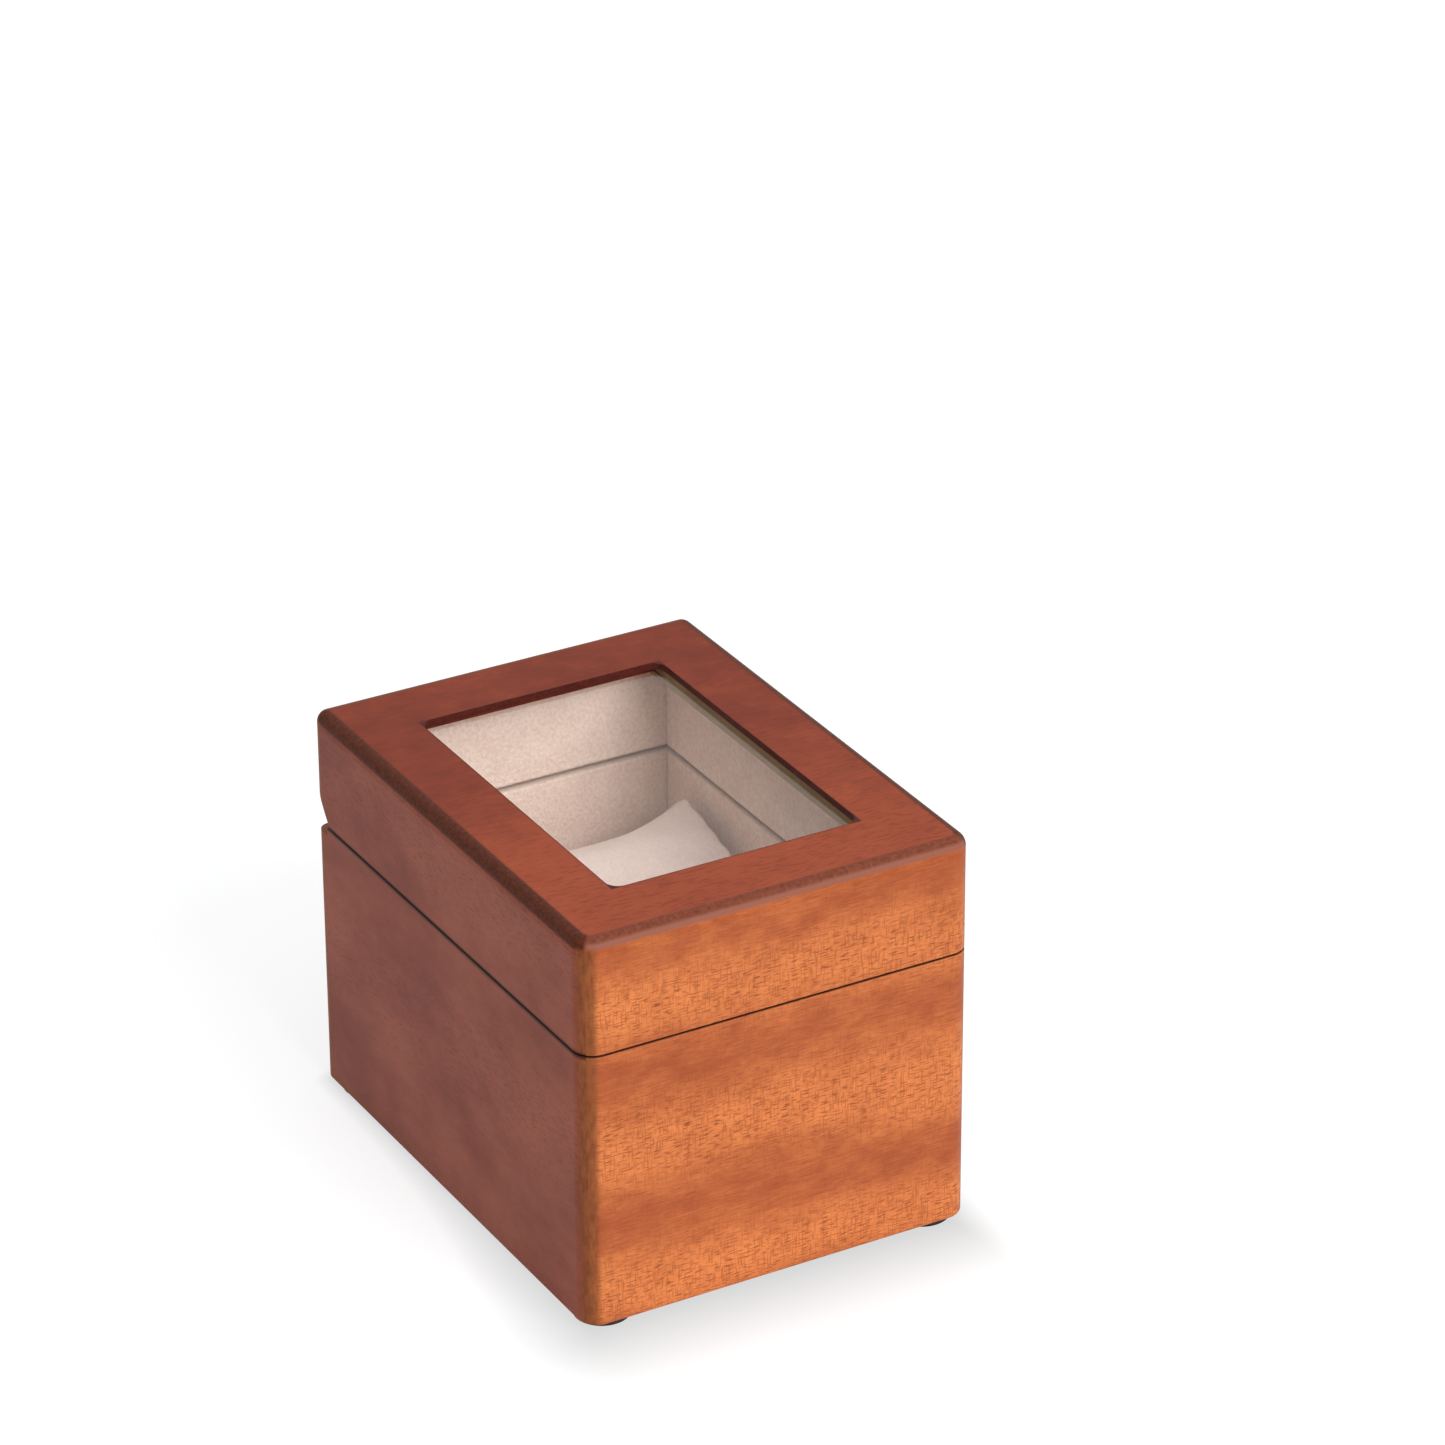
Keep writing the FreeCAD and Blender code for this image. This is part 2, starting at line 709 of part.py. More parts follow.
belt_inside = belt_loop(size.belt_clearance.value)
belt_outside = belt_loop((size.belt_clearance + size.belt_thickness).value)
drive_belt = doc.addObject("Part::Feature", "drive_belt")
belt_edge = Part.makeFace([belt_outside, belt_inside], "Part::FaceMakerBullseye")
drive_belt.Shape = belt_edge.extrude(Vector(size.belt_width.value, 0, 0))
keep(drive_belt)


# Base: four mitred walls round a rebated bottom board, on felt feet
x_board = x_in + size.board_rebate
y_board = y_in + size.board_rebate
beyond_width = around(middle, x_out + over)
back_upright_radius = size.top_radius + size.back_upright_extra
wall_ends = {"left": (-x_out - over, -x_in), "right": (x_in, x_out + over)}
base_block = finished_block(
    "base_block",
    around(middle, x_out),
    around(middle, y_out),
    (base_low, base_top),
    ("Fillet", size.upright_radius, front_upright),
    ("Fillet", back_upright_radius, back_upright),
    ("Fillet", size.bottom_radius, in_plane("z", base_low)),
    ("Chamfer", size.seam_chamfer, in_plane("z", base_top)),
)
step_y = (y_out - size.back_step_depth, y_out + over)
step_z = (base_top - size.back_step_height, base_top + over)
corner_step_y = (y_out - size.corner_step_depth, y_out + over)
steps = [block("back_step", beyond_width, step_y, step_z)]
for side, x in wall_ends.items():
    steps.append(block(f"{side}_corner_step", x, corner_step_y, step_z))
board_room_z = (base_low - over, board_top)
board_room = block("board_room", around(middle, x_board), around(middle, y_board), board_room_z)
base_shell = cut("base_shell", base_block, *steps, board_room)

jack_centre = (partition_left - size.drive_bay / 2, board_top + size.jack_height)
jack_seat = y_out - size.jack_recess
jack_body_y = (y_in - size.jack_tail, jack_seat)
jack_hole = rod("jack_hole", "y", jack_body_y, jack_centre, size.jack_radius)
jack_recess_radius = size.jack_flange_radius + size.jack_flange_clearance
jack_recess = rod("jack_recess", "y", (jack_seat, y_out + over), jack_centre, jack_recess_radius)
wall_cutters = {
    "back": base_mortises + base_screws + [jack_hole, jack_recess],
    "right": pivot_holes,
}
for name, turn, run, reach in WALLS:
    node = f"base_{name}_wall"
    cutters = wall_cutters.get(name, [])
    form_name = f"{node}_form" if cutters else node
    form = mitred_wall(form_name, base_shell, turn, run, reach, (base_low, base_top))
    keep(cut(node, form, *cutters) if cutters else form)

bottom_blank = block(
    "bottom_blank", around(middle, x_board), around(middle, y_board), (base_low, board_top)
)
keep(cut("base_bottom_board", bottom_blank, *shank_holes))
feet = []
for side, x_sign in SIDES:
    for end, y_sign in CRADLES:
        spot = ((x_out - size.foot_inset) * x_sign, (y_out - size.foot_inset) * y_sign)
        feet.append(rod(f"{end}_{side}_foot", "z", (middle, base_low), spot, size.foot_diameter / 2))
keep(group("felt_feet", feet), len(feet))


# Inner boards: battens and false floor, drive partition, control deck, padded divider
well_board_width = (partition_right, x_in)
battens = []
for end, sign in CRADLES:
    batten_y = around((y_in - size.batten_width / 2) * sign, size.batten_width / 2)
    battens.append(block(f"{end}_batten", well_board_width, batten_y, (board_top, floor_low)))
keep(group("floor_battens", battens), len(battens))
keep(block("well_floor_board", well_board_width, full_depth, (floor_low, floor_top)))
keep(block("well_floor_lining", well_width, well_depth, (floor_top, well_floor)))
partition_x = (partition_left, partition_right)
partition_board = block("partition_board", partition_x, full_depth, (board_top, deck_low))
shaft_hole_x = (partition_left - over, partition_right + over)
motor_hole = rod("motor_hole", "x", shaft_hole_x, motor_centre, shaft_hole_radius)
keep(cut("drive_partition", partition_board, motor_hole, *bush_holes))
partition_pad = finished_block(
    "partition_pad",
    (partition_right, well_left),
    well_depth,
    (floor_top, deck_top),
    ("Fillet", size.lining_edge, in_plane("x", well_left)),
)
keep(cut("drive_partition_lining", partition_pad, *bush_holes))
divider_top = well_floor + size.divider_height
keep(finished_block(
    "centre_divider",
    well_width,
    around(middle, size.divider_thickness / 2),
    (well_floor, divider_top),
    ("Fillet", size.divider_round, in_plane("z", divider_top)),
))

# Controls on the deck, along the left side: mode knob, power rocker and indicator lens
control_x = partition_left - size.control_inset
switch_low = deck_low - size.switch_depth
rocker_half_x = size.rocker_body_x / 2
rocker_half_y = size.rocker_body_y / 2
cavity_half_x = rocker_half_x - size.rocker_wall
cavity_half_y = rocker_half_y - size.rocker_wall
flange_half_x = rocker_half_x + size.rocker_flange_edge
flange_half_y = rocker_half_y + size.rocker_flange_edge
rocker_top = deck_top + size.rocker_flange
rocker_x = around(control_x, rocker_half_x)
rocker_y = around(middle, rocker_half_y)
rocker_body = block("rocker_body", rocker_x, rocker_y, (switch_low, deck_top))
rocker_flange = block(
    "rocker_flange", around(control_x, flange_half_x), around(middle, flange_half_y), (deck_top, rocker_top)
)
rocker_cavity = block(
    "rocker_cavity",
    around(control_x, cavity_half_x),
    around(middle, cavity_half_y),
    (switch_low + size.rocker_floor, rocker_top + over),
)
pin_hole_radius = size.paddle_pin_radius + size.running_clearance
paddle_pivot = (middle, deck_top)
rocker_pin_hole = rod("rocker_pin_hole", "x", rocker_x, paddle_pivot, pin_hole_radius)
rocker_solid = fuse("rocker_solid", rocker_body, rocker_flange)
keep(cut("rocker_housing", rocker_solid, rocker_cavity, rocker_pin_hole))

paddle_half_x = cavity_half_x - size.paddle_clearance
paddle_half_y = cavity_half_y - size.paddle_play
paddle_block = block(
    "paddle_block",
    around(middle, paddle_half_x),
    around(middle, paddle_half_y),
    (-size.paddle_below, size.paddle_rise),
)
paddle_pin = rod("paddle_pin", "x", around(middle, rocker_half_x), (middle, middle), size.paddle_pin_radius)
power_rocker = keep(fuse("power_rocker", paddle_block, paddle_pin))
paddle_turn = FreeCAD.Rotation(Vector(1, 0, 0), size.paddle_tilt.value)
power_rocker.Placement = FreeCAD.Placement(Vector(), paddle_turn)
place(power_rocker, control_x, *paddle_pivot)

knob_spot = (control_x, -size.control_pitch)
switch_half = size.switch_body_side / 2
switch_base = block(
    "switch_base",
    around(control_x, switch_half),
    around(-size.control_pitch, switch_half),
    (switch_low, deck_low),
)
switch_neck = rod("switch_neck", "z", (deck_low, deck_top), knob_spot, size.switch_neck_radius)
spindle_low = deck_low - size.spindle_depth
spindle_hole_radius = size.spindle_radius + size.running_clearance
spindle_hole = rod("spindle_hole", "z", (spindle_low, deck_top + over), knob_spot, spindle_hole_radius)
keep(cut("mode_switch_body", fuse("switch_solid", switch_base, switch_neck), spindle_hole))
knob_low = deck_top + size.knob_gap
knob_top = knob_low + size.knob_height
knob_cap = rod("knob_cap", "z", (knob_low, knob_top), knob_spot, size.knob_radius)
spindle = rod("spindle", "z", (spindle_low, knob_low), knob_spot, size.spindle_radius)
notch_y = (knob_spot[1] - size.knob_radius - over, knob_spot[1])
knob_notch = block(
    "knob_notch",
    around(control_x, size.knob_notch / 2),
    notch_y,
    (knob_top - size.knob_notch, knob_top + over),
)
keep(cut("mode_knob", fuse("knob_solid", knob_cap, spindle), knob_notch))

lens_spot = (control_x, size.control_pitch)
lens_z = (deck_low - size.lens_depth, deck_top + size.lens_rise)
keep(rod("indicator_lens", "z", lens_z, lens_spot, size.lens_radius))

deck_width = (-x_in, partition_right)
deck_blank = block("deck_blank", deck_width, full_depth, (deck_low, deck_board_top))
deck_pad = block("deck_pad", deck_width, full_depth, (deck_board_top, deck_top))
lens_hole = rod("lens_hole", "z", lens_z, lens_spot, size.lens_radius)
keep(cut("control_deck", deck_blank, rocker_body, switch_neck, lens_hole))
keep(cut("deck_lining", deck_pad, rocker_body, switch_neck, lens_hole))

# Power jack: a barrel socket in a recess of the back wall, held by a nut inside
flange_y = (jack_seat, jack_seat + size.jack_flange)
socket_floor = flange_y[1] - size.socket_depth
jack_barrel = rod("jack_barrel", "y", jack_body_y, jack_centre, size.jack_radius)
jack_flange = rod("jack_flange", "y", flange_y, jack_centre, size.jack_flange_radius)
socket = rod("socket", "y", (socket_floor, flange_y[1] + over), jack_centre, size.socket_radius)
socket_pin_y = (socket_floor - over, jack_seat)
socket_pin = rod("socket_pin", "y", socket_pin_y, jack_centre, size.socket_pin_radius)
jack_shell = cut("jack_shell", fuse("jack_solid", jack_barrel, jack_flange), socket)
keep(fuse("power_jack", jack_shell, socket_pin))
nut_y = (y_in - size.nut_thickness, y_in)
nut_blank = doc.addObject("Part::Prism", "nut_blank")
nut_blank.Polygon = 6
bind(nut_blank, Circumradius=size.nut_radius, Height=size.nut_thickness)
stand_along(nut_blank, "y", nut_y[0], jack_centre)
keep(cut("jack_nut", nut_blank, jack_hole))

# Control board under the false floor, on four standoffs
circuit_low = board_top + size.standoff_height
circuit_top = circuit_low + size.circuit_thickness
circuit_x = around(pillow_mid, size.circuit_length / 2)
circuit_y = around(cradle_y, size.circuit_width / 2)
keep(block("control_board", circuit_x, circuit_y, (circuit_low, circuit_top)))
standoffs = []
for side, x_sign in SIDES:
    for end, y_sign in CRADLES:
        spot = (
            pillow_mid + (size.circuit_length / 2 - size.standoff_inset) * x_sign,
            cradle_y + (size.circuit_width / 2 - size.standoff_inset) * y_sign,
        )
        post = rod(f"{end}_{side}_post", "z", (board_top, circuit_low), spot, size.standoff_radius)
        standoffs.append(post)
keep(group("board_standoffs", standoffs), len(standoffs))
chip = block(
    "chip",
    around(pillow_mid, size.chip_side / 2),
    around(cradle_y, size.chip_side / 2),
    (circuit_top, circuit_top + size.chip_height),
)
capacitor_spot = (circuit_x[1] - size.capacitor_radius - size.standoff_inset, cradle_y)
capacitor_z = (circuit_top, circuit_top + size.capacitor_height)
capacitor = rod("capacitor", "z", capacitor_z, capacitor_spot, size.capacitor_radius)
plug = block(
    "plug",
    (circuit_x[0], circuit_x[0] + size.plug_width),
    around(cradle_y, size.plug_length / 2),
    (circuit_top, circuit_top + size.plug_height),
)
components = [chip, capacitor, plug]
keep(group("board_components", components), len(components))


# Linings: padded suede panels, stopping short of the seam so that base and lid panels never rub
def lining(name, x, y, z, axis, face, *holes):
    """A padded panel with soft edges round its showing face."""
    pad_name = f"{name}_pad" if holes else name
    pad = finished_block(pad_name, x, y, z, ("Fillet", size.lining_edge, in_plane(axis, face)))
    return keep(cut(name, pad, *holes) if holes else pad)


base_lining_z = (floor_top, lining_top)
lid_lining_z = (lid_low + size.lining_setback, frame_low)
right_pad = (well_right, x_in)
left_pad = (-x_in, -well_right)
back_pad = (well_back, y_in)
front_pad = (-y_in, -well_back)
lining("base_lining_back", well_board_width, back_pad, base_lining_z, "y", well_back)
lining("base_lining_front", well_board_width, front_pad, base_lining_z, "y", -well_back)
lining("base_lining_right", right_pad, well_depth, base_lining_z, "x", well_right, *pivot_holes)
lining("lid_lining_back", full_width, back_pad, lid_lining_z, "y", well_back)
lining("lid_lining_front", full_width, front_pad, lid_lining_z, "y", -well_back)
lining("lid_lining_right", right_pad, well_depth, lid_lining_z, "x", well_right)
lining("lid_lining_left", left_pad, well_depth, lid_lining_z, "x", -well_right)

# Lid: four mitred walls under a one-piece top frame. A stepped strip along each side of the window holds
# the glass up in its rebate
lid_block = finished_block(
    "lid_block",
    around(middle, x_out),
    around(middle, y_out),
    (lid_low, lid_top),
    ("Fillet", size.upright_radius, front_upright),
    ("Fillet", back_upright_radius, back_upright),
    ("Fillet", size.top_radius, in_plane("z", lid_top)),
    ("Chamfer", size.seam_chamfer, in_plane("z", lid_low)),
)


def bevel_waste(name, x, depth, height, radius):
    """What a bevel takes off the lower back edge over a span of its width. The bevel is an arc through
    its two edges, so its centre is on the line that halves its chord."""
    chord = square_root(depth * depth + height * height)
    chord_to_centre = square_root(radius * radius - chord * chord / 4)
    centre = (
        y_out - depth / 2 - chord_to_centre * height / chord,
        lid_low + height / 2 + chord_to_centre * depth / chord,
    )
    bevel_y = (y_out - depth - over, y_out + over)
    blank = block(f"{name}_blank", x, bevel_y, (lid_low - over, lid_low + height))
    return cut(name, blank, rod(f"{name}_round", "x", x, centre, radius))


back_bevel = (size.back_bevel_depth, size.back_bevel_height, size.back_bevel_radius)
corner_bevel = (size.corner_bevel_depth, size.corner_bevel_height, size.corner_bevel_radius)
bevels = [bevel_waste("back_bevel", beyond_width, *back_bevel)]
for side, x in wall_ends.items():
    bevels.append(bevel_waste(f"{side}_corner_bevel", x, *corner_bevel))
lid_form = cut("lid_form", lid_block, *bevels)
for name, turn, run, reach in WALLS:
    node = f"lid_{name}_wall"
    cutters = lid_mortises + lid_screws if name == "back" else []
    form = mitred_wall(f"{node}_form" if cutters else node, lid_form, turn, run, reach, (lid_low, frame_low))
    keep(cut(node, form, *cutters) if cutters else form)

window_x = x_out - size.side_rail
window_y = y_out - size.end_rail
glass_x = window_x + size.glass_side_overlap
glass_y = window_y + size.glass_end_overlap
glass_z = (frame_low, frame_low + size.glass_thickness)
top_slab = block("top_slab", beyond_width, around(middle, y_out + over), (frame_low, lid_top + over))
window = finished_block(
    "window",
    around(middle, window_x),
    around(middle, window_y),
    (frame_low - over, lid_top + over),
    ("Fillet", size.window_radius, upright),
)
glass = keep(block("glass_pane", around(middle, glass_x), around(middle, glass_y), glass_z))
strip_z = (frame_low - size.retainer_depth, frame_low)
seat_x = glass_x + size.retainer_seat / 2
ledge_x = (window_x + size.retainer_reveal + well_right) / 2
seats = []
retainers = []
for side, sign in SIDES:
    seat_width = around(seat_x * sign, size.retainer_seat / 2)
    ledge_width = around(ledge_x * sign, well_right - ledge_x)
    seats.append(block(f"{side}_seat", seat_width, around(middle, glass_y), glass_z))
    ledge = block(f"{side}_ledge", ledge_width, well_depth, strip_z)
    retainers.append(fuse(f"{side}_retainer", seats[-1], ledge))
keep(group("glass_retainers", retainers), len(retainers))
keep(cut("lid_top_frame", common("top_form", lid_form, top_slab), window, glass, *seats))

# Every feature and sub-part has to be sound before anything is written
doc.recompute()
for thing in doc.Objects:
    if {"Invalid", "Error"} & set(thing.State):
        raise RuntimeError(f"{thing.Name} could not be built: {thing.State}")
for thing, solids in nodes:
    if thing.Shape.isNull() or not thing.Shape.isValid():
        raise RuntimeError(f"{thing.Label} has no valid shape")
    if len(thing.Shape.Solids) != solids:
        raise RuntimeError(f"{thing.Label} has {len(thing.Shape.Solids)} solids, not {solids}")

os.makedirs("parts", exist_ok=True)
for thing, solids in nodes:
    thing.Shape.exportStep(f"parts/{thing.Label}.step")
print(f"{len(nodes)} sub-parts written")
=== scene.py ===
import math

import bpy
from mathutils import Matrix, Vector


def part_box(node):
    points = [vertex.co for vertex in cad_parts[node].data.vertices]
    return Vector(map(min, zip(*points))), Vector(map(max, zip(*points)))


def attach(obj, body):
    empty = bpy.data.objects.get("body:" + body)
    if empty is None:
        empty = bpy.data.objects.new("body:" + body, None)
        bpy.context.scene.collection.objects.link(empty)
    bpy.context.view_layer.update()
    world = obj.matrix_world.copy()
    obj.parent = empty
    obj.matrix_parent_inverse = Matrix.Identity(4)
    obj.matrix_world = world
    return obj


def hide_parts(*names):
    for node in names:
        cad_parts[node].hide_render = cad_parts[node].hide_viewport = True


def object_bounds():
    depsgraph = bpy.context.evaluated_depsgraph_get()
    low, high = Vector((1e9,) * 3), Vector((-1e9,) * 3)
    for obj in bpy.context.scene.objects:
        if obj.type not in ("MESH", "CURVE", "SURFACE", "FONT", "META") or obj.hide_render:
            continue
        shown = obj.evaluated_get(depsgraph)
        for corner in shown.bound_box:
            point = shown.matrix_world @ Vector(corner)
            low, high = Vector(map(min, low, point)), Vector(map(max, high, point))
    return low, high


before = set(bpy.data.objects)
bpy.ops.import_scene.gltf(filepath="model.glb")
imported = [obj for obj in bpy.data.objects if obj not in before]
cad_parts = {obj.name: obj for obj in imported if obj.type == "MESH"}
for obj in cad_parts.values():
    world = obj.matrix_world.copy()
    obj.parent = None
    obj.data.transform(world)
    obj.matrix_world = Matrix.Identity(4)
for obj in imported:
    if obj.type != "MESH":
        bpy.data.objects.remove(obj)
cad_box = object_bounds()


# Base box: four board walls faced with stained ribbon-striped veneer, mitred and glued at the corners,
# sanded round along the uprights and finished with a thin satin lacquer. Painted shade darkens the
# walls along the seam, and the left uprights carry a brown strip: the edge wood of the sheet with
# painted shade for the side turned from the lamp.
def stain(red, green, blue):
    """A colour as a colour card gives it, 0 to 255, on the scale that the shaders use."""
    shares = [value / 255 for value in (red, green, blue)]
    linear = [s / 12.92 if s <= 0.04045 else ((s + 0.055) / 1.055) ** 2.4 for s in shares]
    return (*linear, 1.0)


def plug(tree, node, inputs):
    """Links or sets a node's inputs, each under its name or its number."""
    for key, value in inputs.items():
        if isinstance(value, bpy.types.NodeSocket):
            tree.links.new(value, node.inputs[key])
        else:
            node.inputs[key].default_value = value


def lay(tree, kind, inputs=None, out=0, **settings):
    """Adds one node to a finish, plugs or sets its inputs, and gives back one of its outputs."""
    node = tree.nodes.new("ShaderNode" + kind)
    for key, value in settings.items():
        setattr(node, key, value)
    plug(tree, node, inputs or {})
    return node.outputs[out]


def tint(tree, share, first, second):
    """Goes from the first colour to the second by a share."""
    return lay(tree, "Mix", {0: share, 6: first, 7: second}, 2, data_type="RGBA")


def reckon(tree, how, *terms):
    """One step of arithmetic on numbers that change over the surface."""
    return lay(tree, "Math", dict(enumerate(terms)), operation=how)


def swing(tree, noise, reach):
    """Noise about nought instead of about a half, stretched by a reach."""
    return reckon(tree, "MULTIPLY", reckon(tree, "SUBTRACT", noise, 0.5), reach)


def total(tree, first, *others):
    """The sum of several numbers that change over the surface."""
    for other in others:
        first = reckon(tree, "ADD", first, other)
    return first


def ease(tree, value, low, high, first=0.0, last=1.0):
    """Goes smoothly from first to last while the value goes from low to high."""
    inputs = {0: value, 1: low, 2: high, 3: first, 4: last}
    return lay(tree, "MapRange", inputs, interpolation_type="SMOOTHSTEP")


def cloud(tree, place, scale, detail=2.0, roughness=0.55):
    """Soft noise whose patches are one over the scale long each way, in metres."""
    stretched = lay(tree, "Mapping", {"Vector": place, "Scale": scale})
    inputs = {"Vector": stretched, "Scale": 1.0, "Detail": detail, "Roughness": roughness}
    return lay(tree, "TexNoise", inputs)


def new_effect(name, takes, gives):
    """Starts a node group that several finishes share: its tree, what enters and what leaves."""
    tree = bpy.data.node_groups.new(name, "ShaderNodeTree")
    for label, kind in takes.items():
        tree.interface.new_socket(label, in_out="INPUT", socket_type="NodeSocket" + kind)
    for label, kind in gives.items():
        tree.interface.new_socket(label, in_out="OUTPUT", socket_type="NodeSocket" + kind)
    enters = tree.nodes.new("NodeGroupInput")
    leaves = tree.nodes.new("NodeGroupOutput")
    return tree, enters.outputs, leaves


def put_effect(tree, effect, inputs):
    """Places a shared effect in a finish with its own values, and gives back its outputs."""
    node = tree.nodes.new("ShaderNodeGroup")
    node.node_tree = effect
    plug(tree, node, inputs)
    return node.outputs


def new_finish(name, **plain):
    """Starts a material: itself, its tree, its shader and the place on the object in metres."""
    material = bpy.data.materials.new(name)
    material.use_nodes = True
    tree = material.node_tree
    shader = tree.nodes["Principled BSDF"]
    for key, value in plain.items():
        shader.inputs[key.replace("_", " ")].default_value = value
    place = lay(tree, "TexCoord", out="Object")
    return material, tree, shader, place


def emboss(tree, shader, height, strength, depth):
    """Turns a height over the surface into fine relief, depth metres deep."""
    bump = lay(tree, "Bump", {"Height": height, "Strength": strength, "Distance": depth})
    tree.links.new(bump, shader.inputs["Normal"])


def dress(material, *nodes):
    """Gives CAD pieces their finish."""
    for node in nodes:
        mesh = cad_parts[node].data
        mesh.materials.clear()
        mesh.materials.append(material)


veneer, enters, leaves = new_effect(
    "Ribbon veneer",
    {"Grain": "Vector", "Light": "Color", "Dark": "Color", "Pore": "Color", "Stripe": "Float",
     "Stripe Width": "Float", "Stripe Start": "Float", "Clouds": "Float", "Cross Figure": "Float",
     "Flecks": "Float"},
    {"Color": "Color", "Roughness": "Float", "Height": "Float"},
)
grain = enters["Grain"]
along, across = lay(veneer, "SeparateXYZ", {"Vector": grain}).node.outputs[:2]
drift = swing(veneer, cloud(veneer, grain, (9, 15, 9)), 0.022)
sloped = total(veneer, across, reckon(veneer, "MULTIPLY", along, 0.06), drift)
turns = reckon(veneer, "SUBTRACT", sloped, enters["Stripe Start"])
turns = reckon(veneer, "DIVIDE", turns, enters["Stripe Width"])
wave = reckon(veneer, "COSINE", reckon(veneer, "MULTIPLY", turns, 2 * math.pi))
bright = reckon(veneer, "MULTIPLY_ADD", wave, 0.35, 0.65)
bloom = cloud(veneer, grain, (24, 36, 24))
mottle = cloud(veneer, grain, (110, 200, 110), 3.0, 0.6)
fibre = cloud(veneer, grain, (160, 2500, 160))
tone = reckon(veneer, "MULTIPLY_ADD", wave, enters["Stripe"], 0.5)
tone = total(veneer, tone, swing(veneer, bloom, enters["Clouds"]), swing(veneer, mottle, 0.6),
             swing(veneer, fibre, 0.5))
wood = tint(veneer, ease(veneer, tone, 0.0, 1.0), enters["Dark"], enters["Light"])
dashes = ease(veneer, cloud(veneer, grain, (330, 2500, 330), 1.0), 0.50, 0.68)
dashes = reckon(veneer, "MULTIPLY", dashes, enters["Flecks"])
ticks = ease(veneer, cloud(veneer, grain, (2300, 260, 300), 1.0), 0.48, 0.70)
ticks = reckon(veneer, "MULTIPLY", ticks, enters["Cross Figure"])
pores = reckon(veneer, "MULTIPLY", reckon(veneer, "MAXIMUM", dashes, ticks), bright)
plug(veneer, leaves, {
    "Color": tint(veneer, pores, wood, enters["Pore"]),
    "Roughness": reckon(veneer, "MULTIPLY_ADD", fibre, 0.18, 0.36),
    "Height": reckon(veneer, "SUBTRACT", reckon(veneer, "MULTIPLY", fibre, 0.4), pores),
})

half_width, half_depth, box_top = cad_box[1]
base_rim, lid_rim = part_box("base_front_wall")[1].z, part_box("lid_front_wall")[0].z
seam_height, half_seam = (lid_rim + base_rim) / 2, (lid_rim - base_rim) / 2
dark_strip_full, dark_strip_ends = 0.003, 0.005


def inside(tree, coordinate, half_size):
    """How far a place lies in from the nearer of two opposite faces of the box."""
    return reckon(tree, "SUBTRACT", half_size, reckon(tree, "ABSOLUTE", coordinate))


def from_seam(tree, height):
    """How far a place lies above or below the seam between base and lid."""
    return reckon(tree, "ABSOLUTE", reckon(tree, "SUBTRACT", height, seam_height))


edges_and_shade, enters, leaves = new_effect(
    "Edge wood and painted shade", {"Place": "Vector", "Wood": "Color", "Seam Shade Reach": "Float"}, {"Color": "Color"},
)
x, y, z = lay(edges_and_shade, "SeparateXYZ", {"Vector": enters["Place"]}).node.outputs
# Painted shade: a brown strip down the left uprights, edge wood darkened for the side turned from the
# lamp.
from_left = reckon(edges_and_shade, "ADD", half_width, x)
at_left = ease(edges_and_shade, from_left, dark_strip_full, dark_strip_ends, 1.0, 0.0)
at_end = ease(edges_and_shade, inside(edges_and_shade, y, half_depth), dark_strip_full, dark_strip_ends, 0.9, 0.0)
shaded_upright = reckon(edges_and_shade, "MULTIPLY", at_left, at_end)
edge_grain = cloud(edges_and_shade, enters["Place"], (800, 800, 260), 3.0)
edge_wood_and_shade = tint(edges_and_shade, ease(edges_and_shade, edge_grain, 0.25, 0.75), stain(116, 63, 34), stain(146, 82, 45))
colour = tint(edges_and_shade, shaded_upright, enters["Wood"], edge_wood_and_shade)
# Painted shade: the walls go dark brown along the gap of the seam between base and lid.
wall_seam_shade = ease(edges_and_shade, from_seam(edges_and_shade, z), half_seam, enters["Seam Shade Reach"], 0.9, 0.0)
plug(edges_and_shade, leaves, {"Color": tint(edges_and_shade, wall_seam_shade, colour, stain(46, 20, 15))})

FRONT_SHEET = {
    "Light": stain(218, 129, 73), "Dark": stain(158, 77, 45), "Pore": stain(120, 50, 27), "Stripe": 0.24,
    "Stripe Width": 0.040, "Stripe Start": 0.012, "Clouds": 0.5, "Cross Figure": 0.45, "Flecks": 0.75,
}
# The side sheet is written darker than the front and back sheets: partly its own tone, partly painted
# shade, as the left side stands in shade.
SIDE_SHEET = {
    "Light": stain(159, 81, 59), "Dark": stain(127, 54, 31), "Pore": stain(88, 38, 26), "Stripe": 0.12,
    "Stripe Width": 0.058, "Stripe Start": 0.050, "Clouds": 1.6, "Cross Figure": 0.15, "Flecks": 0.5,
}
BACK_SHEET = {
    "Light": stain(208, 120, 72), "Dark": stain(152, 74, 46), "Pore": stain(108, 48, 30), "Stripe": 0.26,
    "Stripe Width": 0.046, "Stripe Start": 0.030, "Clouds": 0.6, "Cross Figure": 0.35, "Flecks": 0.6,
}


def lay_sheet(tree, place, order, sheet):
    """A sheet of veneer whose grain runs along the first of the three axes in order."""
    axes = lay(tree, "SeparateXYZ", {"Vector": place}).node.outputs
    turned = lay(tree, "CombineXYZ", {index: axes[axis] for index, axis in enumerate(order)})
    return put_effect(tree, veneer, {"Grain": turned, **sheet})


def veneer_finish(name, order, sheet, seam_shade_reach):
    """A lacquered wall: one sheet of veneer with its edge strip and the painted shade at the seam."""
    material, tree, shader, place = new_finish(name, Specular_IOR_Level=0.12)
    leaf = lay_sheet(tree, place, order, sheet)
    edged = put_effect(tree, edges_and_shade, {"Place": place, "Wood": leaf["Color"], "Seam Shade Reach": seam_shade_reach})
    plug(tree, shader, {"Base Color": edged["Color"], "Roughness": leaf["Roughness"]})
    emboss(tree, shader, leaf["Height"], strength=0.12, depth=0.0004)
    return material


